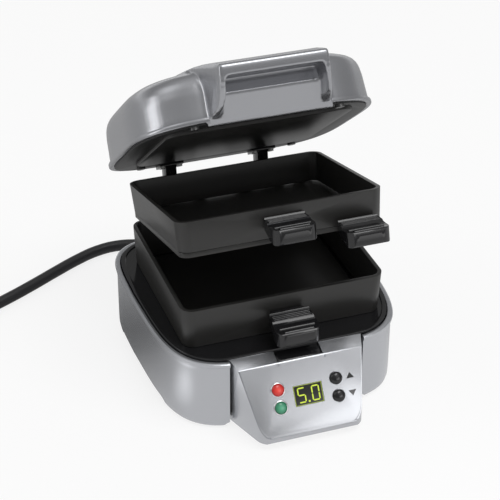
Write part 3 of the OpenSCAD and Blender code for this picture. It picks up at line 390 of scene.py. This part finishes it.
# Painted light and shade on the floor, seen only in reflections: brighter in front of the base, a
# painted pool of light off its front left corner that puts a painted highlight on that corner, and
# a painted shadow beside the base at the left and behind.
painted_floor_light = 0.5 + 0.35 * in_front \
    + 0.8 * near(white, floor_spot, (-0.099, -0.053, 0), 0.026) \
    - 0.4 * near(white, floor_spot, (-0.085, 0.04, 0), 0.1)
floor_light = white.add("Emission", Color=(1, 1, 1),
                        Strength=floor_shine * to_camera + painted_floor_light * mirrored)
mixer = white.add("MixShader", Fac=floor_whiteness * to_camera + mirrored)
white.feed(mixer.inputs[1], white.shader.outputs[0])
white.feed(mixer.inputs[2], floor_light.outputs[0])
white.feed(white.tree.nodes["Material Output"].inputs[0], mixer.outputs[0])
dress(floor, white)


class Sky(Finish):
    """The world's nodes, built in the same way as a finish."""

    def __init__(self, world):
        world.use_nodes = True
        self.tree = world.node_tree


sky = bpy.data.worlds.new("sky")
bpy.context.scene.world = sky
around = Sky(sky)
direction = around.add("TexCoord").outputs["Generated"]
parts = around.add("SeparateXYZ", Vector=direction)
behind = at_least(Level(around, parts.outputs["Y"]))
upwards = Level(around, parts.outputs["Z"])
low_down = at_least(1 - upwards / horizon_height)
sky_studio = 0.3 + 0.4 * at_least(upwards) ** 4 + 0.9 * behind * low_down \
    + 0.9 * near(around, direction, (0.4, -0.62, 0.68), 0.5) \
    + 1.2 * near(around, direction, (-0.66, 0.1, 0.75), 0.45)
sky_light = sky_level + on_rays(around, "Glossy") * (sky_studio - sky_level)
background = around.tree.nodes["Background"]
around.feed(background.inputs["Color"], (1, 1, 1))
around.feed(background.inputs["Strength"], at_least(sky_light, on_rays(around, "Camera")))


def lamp(name, spot, wide, high, watts, facing=looks_at, spread=180):
    """A soft oblong lamp that points at the appliance and may keep to a narrow cone."""
    light = bpy.data.lights.new(name, "AREA")
    light.shape = "RECTANGLE"
    light.size = wide
    light.size_y = high
    light.energy = watts
    light.spread = radians(spread)
    holder = bpy.data.objects.new(name, light)
    bpy.context.collection.objects.link(holder)
    holder.location = spot
    holder.rotation_euler = (Vector(spot) - Vector(facing)).to_track_quat("Z", "Y").to_euler()


lamp("soft_lamp_above", (0.35, -0.5, 1.5), 0.9, 0.7, 8)
lamp("tall_lamp_left", (-0.92, 0.15, 0.28), 0.3, 0.5, 1.1)
lamp("card_in_front", (0.13, -0.315, 0.09), 0.17, 0.09, 0.012, (0, -0.085, 0.02), 60)

bpy.context.scene.view_settings.view_transform = "Standard"


# The base is a moulded plastic shell, painted a satin silver, with a bright bead pressed
# round its rim and its side walls cut away a little between four corner feet.
base_half_wide = 0.0717
base_reach = 0.072
base_widest = 0.012
base_taper = 0.04
arch_top = 4.5
cord_hole_radius = 4.7
panel_gap_half = 38.9
base_levels = [(3.2, 41.4), (3, 43), (2.6, 43.55), (1.8, 43.8), (0.8, 43.6), (0.2, 43.1),
               (0, 42.3), (0.1, 41.6), (0.5, 41), (0.95, 40.7), (1.1, 40.3), (1, 38), (1, 28),
               (1, 18), (1, 9), (1.1, 4), (1.5, 2), (2.1, 1.2), (2.6, 1), (3, 1.2), (3, 8),
               (3, 18), (3, 28), (3, 39.5), (3.2, 41.4)]


def modify(piece, kind, **settings):
    """Adds a modifier with its settings and applies it."""
    modifier = piece.modifiers.new(kind.lower(), kind)
    for name, value in settings.items():
        setattr(modifier, name, value)
    bpy.context.view_layer.objects.active = piece
    bpy.ops.object.modifier_apply(modifier=modifier.name)
    return piece


def join_shape(piece, tool, operation):
    """Adds a second shape to a piece, or cuts it out, and deletes the second shape."""
    modify(piece, "BOOLEAN", object=tool, operation=operation, solver="EXACT")
    bpy.data.objects.remove(tool)
    return piece


def drawn_out(name, outline, mirror=False, shift=(0, 0, 0)):
    """A flat outline in millimetres drawn out along shift, or across to its mirror image."""
    piece = closed_line(name, [Vector(spot) / 1000 for spot in outline], "NGON")
    bpy.ops.mesh.extrude_region_move()
    mesh = bmesh.from_edit_mesh(piece.data)
    for corner in mesh.verts:
        if corner.select:
            corner.co += Vector(shift) / 1000
            if mirror:
                corner.co.x = -corner.co.x
    bmesh.update_edit_mesh(piece.data)
    return close_up(piece)


def bar_across(name, section):
    """A bar along X: section lists (y, z, half width) round its side view, in millimetres."""
    return drawn_out(name, [(-half, y, z) for y, z, half in section], mirror=True)


def box_across(name, rear, front, low, high, half):
    """A plain square bar along X."""
    return bar_across(name, [(rear, low, half), (rear, high, half), (front, high, half),
                             (front, low, half)])


def base_ring(inset, height):
    """The base's outline, in by inset and up by height, both in millimetres."""
    reach = base_reach - inset / 1000
    ring = squared_ring(base_half_wide - inset / 1000, reach, reach, base_widest, (4.5, 4.5),
                        base_taper)
    return [spot + Vector((0, 0, height / 1000)) for spot in ring]


def arch(name, low, high, top, half):
    """A cut under the side walls: a slot along X with rounded upper corners."""
    bend = [(1.4, 2.6), (2.6, 1.4), (4.2, 0.5), (6.5, 0)]
    section = [(low, -2), (low + 0.6, 1)] + [(low + away, top - down) for away, down in bend]
    section += [(high - away, top - down) for away, down in reversed(bend)]
    section += [(high - 0.6, 1), (high, -2)]
    return bar_across(name, [(y, z, half) for y, z in section])


silver = Finish("silver_paint", Metallic=0.8, Roughness=0.26, Base_Color=(0.5, 0.51, 0.535))
silver.bump(silver.noise(2500, 2), 0.08, 0.0002)
shell = close_up(hoops("base_wall", [base_ring(*level) for level in base_levels]))
join_shape(shell, arch("side_arch", -40, 38, arch_top, 90), "DIFFERENCE")
front_arch = arch("front_arch", -43, 43, arch_top, 90)
front_arch.data.transform(Matrix.Rotation(pi / 2, 4, "Z"))
join_shape(shell, front_arch, "DIFFERENCE")
join_shape(shell, box_across("panel_gap", -59.5, -90, -5, 50, panel_gap_half), "DIFFERENCE")
cord_hole = sleeve("cord_hole", relief_root - Vector((0, 0.01, 0)), Vector((0, 1, 0)),
                   [(away, cord_hole_radius, cord_hole_radius, 2) for away in (0, 20)])
join_shape(shell, cord_hole, "DIFFERENCE")
fit_out(smooth(shell, 32), silver, "base", "silver_shell", "base_shell")


# Under the base a matt black moulded cover, screwed on from below, carries four rubber
# feet. Inside stand a ceramic terminal block with its leads and, below the lower plate, its
# tubular element, thermostat, fuse and pressed heat shield.
matt_black = Finish("matt_black_plastic", Roughness=0.6, Base_Color=(0.02, 0.02, 0.021))
matt_black.bump(matt_black.noise(1800, 2), 0.3, 0.0002)
rubber = Finish("foot_rubber", Roughness=0.75, Base_Color=(0.018, 0.018, 0.018))
rubber.bump(rubber.noise(1200, 3), 0.4, 0.0002)
steel = Finish("bright_steel", Metallic=1.0, Base_Color=(0.55, 0.55, 0.54))
steel.set(Roughness=steel.noise(800, 2, (1, 5, 1)) * 0.12 + 0.24)
shield_sheet = Finish("shield_sheet", Metallic=1.0, Base_Color=(0.6, 0.6, 0.61))
shield_sheet.set(Roughness=shield_sheet.noise(300, 3) * 0.2 + 0.28)
heated_tube = Finish("heated_tube", Metallic=0.9, Roughness=0.5)
heated_tube.set(Base_Color=heated_tube.blend(heated_tube.noise(160, 3), (0.2, 0.17, 0.14),
                                             (0.32, 0.31, 0.31)))
ceramic = Finish("ceramic", Roughness=0.55, Base_Color=(0.6, 0.55, 0.45))
ceramic.bump(ceramic.noise(1400, 2), 0.25, 0.0002)
lead_sleeve = Finish("lead_sleeve", Roughness=0.5, Base_Color=(0.3, 0.03, 0.02))
lead_sleeve.bump(lead_sleeve.noise(1500, 3), 0.3, 0.0001)
for node, finish in {
        "base_cover": matt_black, "rubber_feet": rubber, "cover_screws": steel,
        "heat_shield": shield_sheet, "lower_element": heated_tube, "terminal_block": ceramic,
        "lower_thermostat": ceramic, "thermal_fuse": steel, "base_leads": lead_sleeve}.items():
    dress(node, finish)


# The control panel is a second silver moulding that leans back from the worktop to the
# deck. Its sides narrow towards the front, and a rounded lip runs along its foot.
panel_top = (74.7, 41.1)
panel_foot = (95.5, 8)
panel_wide_top = 35.7
panel_wide_foot = 28.8
panel_wide_rear = 38.6
panel_lean = atan2(panel_foot[0] - panel_top[0], panel_top[1] - panel_foot[1])
panel_narrowing = (panel_wide_top - panel_wide_foot) / (panel_foot[0] - panel_top[0])
fascia_place = Matrix.Translation((0, -panel_top[0] / 1000, panel_top[1] / 1000)) @ \
    Matrix.Rotation(pi / 2 - panel_lean, 4, "X")
notch_half = 13.2
sunk = 0.7


def soften(piece, width, segments=2, angle=40):
    """Rounds the edges that turn by more than the angle."""
    return modify(piece, "BEVEL", width=width, segments=segments, limit_method="ANGLE",
                  angle_limit=radians(angle))


def panel_plan(front, margin, corner):
    """The panel seen from above, with rounded front corners, as points (x, y)."""
    angle = atan2(panel_narrowing, 1)
    steps = 8

    def half_at(out):
        half = panel_wide_foot + panel_narrowing * (panel_foot[0] - out)
        return min(panel_wide_rear, half) - margin

    middle = half_at(front) - corner * (1 - sin(angle)) / cos(angle)
    right = []
    for step in range(steps + 1):
        bend = -pi / 2 + step * (pi / 2 - angle) / steps
        right.append((middle + corner * cos(bend), corner - front + corner * sin(bend)))
    right += [(half_at(out), -out) for out in (panel_top[0], 66.3, 60)]
    return right + [(-x, y) for x, y in reversed(right)]


def panel_solid(name, section, front, margin, corner):
    """What a side view and the panel's plan have in common."""
    solid = bar_across(name, [(y, z, 50) for y, z in section])
    plan = drawn_out(name + "_plan", [(x, y, -5) for x, y in panel_plan(front, margin, corner)],
                     shift=(0, 0, 60))
    return join_shape(solid, plan, "INTERSECT")


out_y, out_z = sunk * cos(panel_lean), sunk * sin(panel_lean)
housing = panel_solid("panel_wedge", [
    (-66.5, 43.8), (-74.3, 41.3), (-74.7, 41.05), (-74.7 + out_y, 41 - out_z),
    (-95.5 + out_y, 8.5 - out_z), (-95.4, 8.1), (-95.9, 7.2), (-96, 6.2), (-95.7, 5), (-95, 4.2),
    (-60, 4.2), (-60, 41.3), (-66.5, 41.3)], 96, 0, 8.5)
join_shape(housing, box_across("notch", -64, -73.9, 38.9, 50, notch_half), "DIFFERENCE")
soften(housing, 0.0009, 3, 30)
fit_out(smooth(housing, 32), silver, "base", "silver_shell", "panel_housing")


# The fascia is a silver plate let into the panel's sloping front, with holes for two
# lamps, two buttons and the display. Only the marks that name no maker are printed on it.
lamp_across = -16
button_across = 17.8
display_across = 0.9
display_down = 19.5
rows_down = (14, 23.8)
display_size = (16.6, 11.2)
fascia_thick = 1.6
lamp_hole_radius = 3.5
button_hole_radius = 3.75
hole_depth = 9
hole_foot = -6
top_notch_across = 13.4
mark_across = 26
mark_half = 2.3
mark_point = 1.6
print_thick = 0.06
in_y, in_z = fascia_thick * cos(panel_lean), fascia_thick * sin(panel_lean)
fascia = panel_solid("fascia_plate", [
    (-74.75, 41.02), (-95.45, 8.08), (-95.45 + in_y, 8.08 - in_z),
    (-74.75 + in_y, 41.02 - in_z)], 95.4, 0.55, 8)
soften(fascia, 0.0007, 3, 30)


def on_fascia(piece, across, down, out=0):
    """Seats a piece, drawn lying flat about the origin, at a place on the fascia."""
    spot = Matrix.Translation(Vector((across, -down, out)) / 1000)
    piece.data.transform(fascia_place @ spot)
    return piece


def round_piece(name, profile):
    """A turned piece standing on Z: profile lists (radius, height) in millimetres."""
    steps = 40
    rings = [[Vector((radius * cos(2 * pi * step / steps), radius * sin(2 * pi * step / steps),
                      height)) / 1000 for step in range(steps)] for radius, height in profile]
    return close_up(hoops(name, rings), cap=True)


def slab(name, left, right, below, above, foot=hole_foot, thick=hole_depth):
    """A flat oblong in millimetres, as it lies on the fascia; as thick as a hole by default."""
    return drawn_out(name, [(left, below, foot), (right, below, foot), (right, above, foot),
                            (left, above, foot)], shift=(0, 0, thick))


def hole_in(piece, tool, across, down):
    join_shape(piece, on_fascia(tool, across, down), "DIFFERENCE")


for down in rows_down:
    for name, across, radius in (("lamp_hole", lamp_across, lamp_hole_radius),
                                 ("button_hole", button_across, button_hole_radius)):
        drill = round_piece(name, [(radius, hole_foot), (radius, hole_foot + hole_depth)])
        hole_in(fascia, drill, across, down)
hole_x, hole_y = (side / 2 + 0.1 for side in display_size)
hole_in(fascia, slab("display_hole", -hole_x, hole_x, -hole_y, hole_y), display_across,
        display_down)
for side in (-1, 1):
    hole_in(fascia, slab("top_notch", -0.7, 0.7, -1.7, 3), top_notch_across * side, 0)
fit_out(smooth(fascia, 32), silver, "base", "silver_shell", "fascia")

ink = Finish("black_print", Roughness=0.4, Base_Color=(0.012, 0.012, 0.012))
ink.bump(ink.noise(2000, 2), 0.1, 0.0001)
grey_ink = Finish("grey_print", Roughness=0.4, Base_Color=(0.13, 0.13, 0.135))
grey_ink.bump(grey_ink.noise(2000, 2), 0.1, 0.0001)
for name, down, point, finish in (("up_mark", rows_down[0], mark_point, ink),
                                  ("down_mark", rows_down[1], -mark_point, grey_ink)):
    mark = drawn_out(name, [(-mark_half, -point, 0), (mark_half, -point, 0), (0, point, 0)],
                     shift=(0, 0, print_thick))
    fit_out(on_fascia(mark, mark_across, down), finish, "base", "inner_black")


# Two lamps, a lit red one and a green one: moulded clear lenses, domed, each in a thin
# bright ring that is pressed into the fascia.
lens_radius = 0.0034
red_lens = Finish("red_lens", Roughness=0.12, Base_Color=(0.36, 0.004, 0.004),
                  Emission_Strength=0.6)
green_lens = Finish("green_lens", Roughness=0.12, Base_Color=(0.012, 0.13, 0.065),
                    Emission_Strength=0.4)
chrome = Finish("bright_trim", Metallic=1.0, Roughness=0.14, Base_Color=(0.8, 0.8, 0.81))
chrome.bump(chrome.noise(1500, 2), 0.04, 0.0001)
for finish, down, edge, core in (
        (red_lens, rows_down[0], (0.2, 0, 0), (1, 0.16, 0.12)),
        (green_lens, rows_down[1], (0, 0.08, 0.03), (0.3, 0.85, 0.55))):
    middle = fascia_place @ (Vector((lamp_across, -down, 1)) / 1000)
    shine = near(finish, finish.place(), middle, lens_radius)
    finish.set(Emission_Color=finish.blend(shine, edge, core))
lens_line = [(2.5, -8.2), (2.5, -1.9), (3.35, -1.8), (3.35, 0.1), (3.2, 0.5), (2.7, 0.95),
             (1.9, 1.3), (1, 1.5), (0.3, 1.55)]
ring_line = [(3.35, -0.2), (3.35, 0.4), (3.55, 0.6), (3.85, 0.55), (4.1, 0.3), (4.15, 0)]
for name, node, down, finish, slot in (
        ("power", "power_lens", rows_down[0], red_lens, "red_lens"),
        ("preheat", "preheat_lens", rows_down[1], green_lens, "green_lens")):
    lens = on_fascia(round_piece(name + "_dome", lens_line), lamp_across, down)
    fit_out(smooth(lens, 50), finish, "base", slot, node)
    trim = on_fascia(round_piece(name + "_trim", ring_line), lamp_across, down)
    fit_out(smooth(trim, 50), chrome, "base", "silver_shell")


# The time display: a smoked window with a bright seven-segment five, point and nought
# behind it, and a thin lit line round its edge.
glass = Finish("smoked_window", Roughness=0.1, Base_Color=(0.012, 0.013, 0.01))
glass.bump(glass.noise(900, 1), 0.02, 0.0001)
glow = Finish("display_glow", Roughness=0.5, Base_Color=(0.1, 0.12, 0.01),
              Emission_Strength=1.0)
glow.set(Emission_Color=glow.blend(glow.noise(900, 1), (0.52, 0.66, 0.04), (0.66, 0.8, 0.08)))
dim_glow = Finish("edge_glow", Roughness=0.5, Base_Color=(0.16, 0.2, 0.02),
                  Emission_Strength=0.35)
dim_glow.set(Emission_Color=dim_glow.blend(dim_glow.noise(900, 1), (0.3, 0.38, 0.03),
                                           (0.45, 0.55, 0.05)))
half_x, half_y = (side / 2 - 0.05 for side in display_size)
window = slab("window_pane", -half_x, half_x, -half_y, half_y, -1.8, 1.5)
fit_out(on_fascia(window, display_across, display_down), glass, "base", "display_glass",
        "display_window")
digit_half = 1.95
digit_tall = 3.9
stroke = 0.36
bar_thick = 0.06
edge_thick = 0.05
edge_wide = 0.45
lit_from = -0.3
segments = {"top": (0, digit_tall, True), "middle": (0, 0, True), "foot": (0, -digit_tall, True),
            "top_left": (-digit_half, digit_tall / 2, False),
            "top_right": (digit_half, digit_tall / 2, False),
            "low_left": (-digit_half, -digit_tall / 2, False),
            "low_right": (digit_half, -digit_tall / 2, False)}
five = ("top", "top_left", "middle", "low_right", "foot")
nought = ("top", "top_left", "top_right", "low_left", "low_right", "foot")


def segment(name, x, y, lies):
    """One bar of a digit, pointed at both ends."""
    reach = (digit_half if lies else digit_tall / 2) - 0.12
    shape = [(-reach, 0), (stroke - reach, -stroke), (reach - stroke, -stroke), (reach, 0),
             (reach - stroke, stroke), (stroke - reach, stroke)]
    spots = [(x + a, y + b, 0) if lies else (x - b, y + a, 0) for a, b in shape]
    return drawn_out(name, spots, shift=(0, 0, bar_thick))


def light_up(piece, finish):
    """Seats a lit piece in the window."""
    on_fascia(piece, display_across, display_down, lit_from)
    fit_out(piece, finish, "base", "display_glass")


for centre, digit in ((-3.9, five), (4.2, nought)):
    for name in digit:
        x, y, lies = segments[name]
        light_up(segment("digit_" + name, centre + x, y, lies), glow)
light_up(slab("digit_point", -0.55, 0.45, -4.4, -3.4, 0, bar_thick), glow)
for side in (-1, 1):
    light_up(slab("edge_upright", side * half_x, side * (half_x - edge_wide), -half_y, half_y,
                  0, edge_thick), dim_glow)
    light_up(slab("edge_level", edge_wide - half_x, half_x - edge_wide, side * half_y,
                  side * (half_y - 0.4), 0, edge_thick), dim_glow)


# Two glossy black push buttons with domed caps, moulded with their stems. Behind them
# stand tact switches on the control board, which also carries the display, a relay and a
# capacitor.
gloss_black = Finish("gloss_black_plastic", Roughness=0.11, Base_Color=(0.012, 0.012, 0.013))
gloss_black.bump(gloss_black.noise(500, 2), 0.03, 0.0002)
cap_line = [(1.5, -6.5), (1.5, -3.5), (4.5, -3.4), (4.5, -2.25), (3.5, -2.2), (3.5, 0.7),
            (3.4, 1.2), (3, 1.75), (2.3, 2.2), (1.3, 2.5), (0.4, 2.6)]
for node, down in (("up_button", rows_down[0]), ("down_button", rows_down[1])):
    cap = on_fascia(round_piece(node + "_cap", cap_line), button_across, down)
    fit_out(smooth(cap, 50), gloss_black, node + "_body", "black_grip", node)
board_green = Finish("board_green", Roughness=0.4)
board_green.set(Base_Color=board_green.blend(board_green.noise(500, 2) > 0.56,
                                             (0.02, 0.1, 0.04), (0.05, 0.2, 0.08)))
case_blue = Finish("component_case", Roughness=0.35, Base_Color=(0.03, 0.08, 0.28))
case_blue.bump(case_blue.noise(900, 2), 0.1, 0.0001)
for node, finish in {"control_board": board_green, "board_relay": case_blue,
                     "board_capacitor": case_blue, "board_screws": steel,
                     "button_switches": matt_black, "display_module": matt_black}.items():
    dress(node, finish)


# The deck is one glossy black moulding with a raised edge that drops into the silver
# shell. Its opening holds the lower heating plate, cast and coated. A black tongue fills the
# finger notch in front of it as painted shade: a dark piece where the notch holds only shade.


def softened(node, width, finish, body, slot):
    """A CAD node's shape with its edges rounded, in place of the sharp one."""
    piece = bpy.data.objects.new(node + "_soft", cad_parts[node].data.copy())
    bpy.context.collection.objects.link(piece)
    pick(piece)
    bpy.ops.object.mode_set(mode="EDIT")
    bpy.ops.mesh.select_all(action="SELECT")
    bpy.ops.mesh.remove_doubles(threshold=0.00001)
    bpy.ops.mesh.dissolve_limited(angle_limit=radians(0.5))
    close_up(piece)
    soften(piece, width, angle=35)
    return fit_out(smooth(piece, 32), finish, body, slot, node)


coating = Finish("nonstick_coating", Base_Color=(0.022, 0.0215, 0.0205))
speckle = coating.noise(2600, 2)
coating.set(Roughness=speckle * 0.14 + 0.28)
coating.bump(speckle, 0.12, 0.0001)
opening_wide = 0.0538
opening_long = 0.0453
shade_tongue_half = 12.6
deck_line = [(3.3, 41.4, 66.3), (3.3, 44.45, 66.3), (3.4, 44.7, 66.2), (3.7, 44.8, 65.9),
             (5, 44.8, 64.6), (5.4, 44.7, 64.2), (5.6, 44.4, 64), (5.8, 44.05, 63.8),
             (6.2, 44, 63.4)]
deck_rings = []
for inset, height, front in deck_line:
    ring = base_ring(inset, height)
    for spot in ring:
        spot.y = max(spot.y, -front / 1000)
    deck_rings.append(ring)
for height in (44, 41.4):
    opening = squared_ring(opening_wide, opening_long, opening_long, 0, (11, 11))
    deck_rings.append([spot + Vector((0, 0, height / 1000)) for spot in opening])
deck = close_up(hoops("deck_moulding", deck_rings + deck_rings[:1]))
fit_out(smooth(deck, 40), gloss_black, "base", "black_deck", "deck")
softened("lower_heating_plate", 0.0006, coating, "base", "nonstick")
# Painted shade: this black tongue darkens the notch, where there is only shade.
shade_tongue = bar_across("notch_shade_tongue", [(y, z, shade_tongue_half) for y, z in (
    (-66.2, 40.4), (-66.2, 43.2), (-72.4, 41.4), (-73.6, 40.6), (-73.6, 39.4), (-68, 39.4))])
soften(shade_tongue, 0.0004)
fit_out(smooth(shade_tongue), gloss_black, "base", "black_deck")


# At the back a black bracket with two ears, screwed to the deck, holds a steel pin on
# which both rings and the lid turn. Spring clips keep the pin in the ears.
softened("hinge_bracket", 0.0005, gloss_black, "base", "black_deck")
for node in ("bracket_screws", "hinge_pin", "pin_clips"):
    dress(node, steel)


# Both rings are cast in aluminium with rounded corners and coated dark grey, non-stick.
# Lugs behind carry them on the hinge pin, and a tab in front carries each handle.
for node, width, body in (("lower_ring", 0.0005, "lower_ring_body"),
                          ("upper_ring", 0.0005, "upper_ring_body"),
                          ("cooking_plate", 0.0004, "plate_body")):
    softened(node, width, coating, body, "nonstick")
for node in ("swivel_pin", "lower_handle_screw", "upper_handle_screw", "plate_handle_screw"):
    dress(node, steel)


# The three handles are the same glossy black moulding: a top with a raised back edge, fine
# ribs, a step and two ridges, rounded side edges, and a face that leans back below.
handle_wide = 25
handle_long = 19
hollow_half = 10.4
ring_front = 50.75
hinge_line = Vector((0, 0.0693, 0.0756))
upper_opening = 15.4


def swing(piece, degrees):
    """Turns a piece open about the hinge pin and leaves its place in its mesh."""
    turn = Matrix.Rotation(radians(-degrees), 4, "X")
    piece.data.transform(Matrix.Translation(hinge_line) @ turn @ Matrix.Translation(-hinge_line))
    return piece


def handle_line():
    """Side view of a handle: distances forward from its back, and heights from its top."""
    return [(0, -6.8), (0, -0.4), (0.3, 0.3), (0.8, 0.55), (1.3, 0.4), (1.8, -0.4), (7, -1),
            (7.8, -1.8), (9.6, -2.4), (11.4, -2.5), (14.6, -2.6), (16.4, -2.5), (17.6, -2.6),
            (18.4, -3.1), (18.9, -4), (19, -5.2), (18.9, -8), (18.5, -10), (17.6, -11.1),
            (16.4, -11.2), (15.2, -10.9)]


def handle_plan():
    """The handle seen from above: wider in front, with rounded front corners."""
    right = [(handle_wide / 2 - 6.5 * (1 - sin(radians(turn))),
              5 * (1 - cos(radians(turn))) - handle_long) for turn in range(0, 91, 15)]
    right += [(handle_wide / 2, -11), (handle_wide / 2 - 0.5, -6), (handle_wide / 2 - 1, 0.1)]
    return right + [(-x, y) for x, y in reversed(right)]


def ridge(name, away, height, half, thick):
    """A low rounded ridge across the top of a handle."""
    bump = [(cos(pi * step / 8), sin(pi * step / 8)) for step in range(9)]
    section = [(1.5 * thick * a - away, height + thick * b - 0.2, half) for a, b in bump]
    section += [(-away - thick, height - 1, half), (thick - away, height - 1, half)]
    return bar_across(name, section)


def handle(name, across, out, top, body, node, degrees=0):
    """A handle at its place in front of a ring, turned open with the ring by degrees."""
    piece = bar_across(name, [(-away, height, handle_wide) for away, height in handle_line()])
    plan = drawn_out(name + "_plan", [(x, y, -20) for x, y in handle_plan()], shift=(0, 0, 30))
    join_shape(piece, plan, "INTERSECT")
    soften(piece, 0.0007, 3, 65)
    for rib in range(4):
        join_shape(piece, ridge(name + "_rib", 2.6 + 1.25 * rib, -0.4 - 0.14 * rib, 10.7, 0.4),
                   "UNION")
    for away, height, half in ((12.4, -2.5, 10.4), (16, -2.5, 8.6)):
        join_shape(piece, soften(ridge(name + "_ridge", away, height, half, 0.95), 0.0005, 2, 70),
                   "UNION")
    hollow = bar_across(name + "_hollow", [(y, z, hollow_half) for y, z in (
        (-9.5, -20), (-9.5, -5.6), (-15, -5.6), (-16.4, -20))])
    join_shape(piece, hollow, "DIFFERENCE")
    back = Vector((across, -ring_front - out, top)) / 1000
    piece.data.transform(Matrix.Translation(back))
    if degrees:
        swing(piece, degrees)
    smooth(piece, 40)
    modify(piece, "WEIGHTED_NORMAL", keep_sharp=True)
    return fit_out(piece, gloss_black, body, "black_grip", node)


handle("lower_handle", 0, 4.3, 60.5, "lower_ring_body", "lower_ring_handle")
handle("upper_handle", 0, 0.7, 83.7, "upper_ring_body", "upper_ring_handle", upper_opening)
handle("plate_grip", 41.5, 0.7, 74.9, "plate_body", "plate_handle", upper_opening)
neck = bar_across("lower_handle_neck", [(y, z, 9.6) for y, z in (
    (-50.9, 53.8), (-50.9, 59.4), (-55.2, 59.8), (-55.2, 54.2))])
soften(neck, 0.0005)
fit_out(smooth(neck), gloss_black, "lower_ring_body", "black_grip")


# The lid is one pressed and painted dome with a carrying grip that leans forward from its
# front. Fingers reach into the pocket between the grip's frame and the ridged panel
# behind it. It hangs from the hinge pin, open by 38.2 degrees.
lid_opening = 38.2
lid_rim_z = 0.0897
lid_wall = 0.0022
voxel = 0.00085
lid_levels = [(1.3, -0.2), (1.25, 3.4), (1.5, 9), (1.75, 16), (2.3, 20.5),
              (3.1, 23.2), (4.4, 25.4), (6.6, 27.3), (10.5, 29.2), (16, 30.2), (24, 30.7),
              (36, 31), (50, 31.1), (60, 31.15)]


def lid_ring(inset, height):
    """The lid's outline, in by inset and up by height from the rim, both in millimetres."""
    ring = squared_ring(0.07 - inset / 1000, 0.0633 - inset / 1000, 0.0722 - inset / 1000, 0.0031,
                        (3.4, 4.5))
    return [spot + Vector((0, 0, height / 1000)) for spot in ring]


def hang(piece):
    """Lifts a piece drawn from the lid's rim up to its place on the open lid."""
    piece.data.transform(Matrix.Translation((0, 0, lid_rim_z)))
    return swing(piece, lid_opening)


lid_silver = Finish("silver_lid_paint", Metallic=0.8, Roughness=0.27,
                    Base_Color=(0.39, 0.395, 0.415))
lid_silver.bump(lid_silver.noise(2500, 2), 0.06, 0.0002)
lid_dome = hoops("lid_dome", [lid_ring(inset, height) for inset, height in lid_levels])
bpy.ops.mesh.merge(type="CENTER")
close_up(lid_dome)
modify(lid_dome, "SOLIDIFY", thickness=lid_wall, offset=-1)
grip = bar_across("grip", [
    (-50, 12, 33), (-57, 4, 34), (-57.9, 0, 34.8), (-57.9, -2.2, 35.4), (-58.3, -2.6, 35.4),
    (-59.6, -2.6, 35.4), (-60.6, -1.8, 35.2), (-62, 0.6, 34.4), (-66.7, 1.4, 33.4),
    (-70.5, 2.6, 32.4), (-73.6, 4.2, 31.6), (-76, 6.5, 31.1), (-78, 9.2, 30.8),
    (-80, 12.2, 30.6), (-81.6, 15.2, 30.4), (-83, 18.8, 30.2), (-84.1, 22.6, 30),
    (-84.2, 24, 30), (-82.4, 25, 30), (-76, 26.8, 30.2), (-68, 28.8, 30.6),
    (-60, 30.3, 32.4), (-52, 31.2, 36), (-44, 31.4, 40), (-36, 31, 42), (-36, 28, 42),
    (-45, 27, 36), (-50, 24, 34)])
soften(grip, 0.0026, 4, 50)
pocket = bar_across("pocket", [
    (-66, 19.8, 27.2), (-69.8, 11.7, 27.2), (-69.2, 10.4, 27.2), (-65, 4.2, 27.4),
    (-62.2, 0.4, 28.2), (-60.9, -1.6, 30.2), (-60.2, -3.2, 31.8), (-75, -3.2, 31.8),
    (-95, 5, 27.4), (-95, 17.2, 27), (-80, 18.4, 27), (-71, 20.6, 27)])
soften(pocket, 0.0016, 3, 50)
join_shape(grip, pocket, "DIFFERENCE")
join_shape(lid_dome, grip, "UNION")
modify(lid_dome, "REMESH", mode="VOXEL", voxel_size=voxel, adaptivity=0)
modify(lid_dome, "SMOOTH", factor=0.5, iterations=4)
hang(lid_dome).data.shade_smooth()
fit_out(lid_dome, lid_silver, "lid", "silver_lid", "lid_shell")


# Round the lid's foot runs a crisp rolled bead, drawn in the same metal. It stops at the
# grip, whose lip hangs a little lower.
bead_line = [(0.25, -0.2), (0, 0.3), (0, 1.6), (0.25, 2.15), (0.8, 2.4), (1.5, 2.5), (2.3, 2.5),
             (2.3, -0.2), (0.25, -0.2)]
rim = close_up(hoops("lid_rim", [lid_ring(inset, height) for inset, height in bead_line]))
join_shape(rim, box_across("rim_gap", -50, -70, -5, 8, 34.2), "DIFFERENCE")
fit_out(smooth(hang(rim)), lid_silver, "lid", "silver_lid")


# Below the dome a black liner, held by four screws, frames the upper heating plate, which
# is cast and coated as the lower one. Its element and thermostat lie between the two.
satin_black = Finish("satin_black_sheet", Roughness=0.42, Base_Color=(0.022, 0.022, 0.022))
satin_black.bump(satin_black.noise(1400, 2), 0.1, 0.0001)
dark_steel = Finish("dark_steel", Metallic=1.0, Roughness=0.35, Base_Color=(0.14, 0.14, 0.14))
dark_steel.bump(dark_steel.noise(900, 2), 0.1, 0.0001)
softened("lid_liner", 0.0004, satin_black, "lid", "black_deck")
softened("upper_heating_plate", 0.0006, coating, "lid", "nonstick")
softened("lid_arms", 0.0005, gloss_black, "lid", "black_deck")
for node, finish in {"liner_screws": dark_steel, "arm_screws": steel, "upper_element": heated_tube,
                     "upper_thermostat": ceramic, "lid_leads": lead_sleeve}.items():
    dress(node, finish)
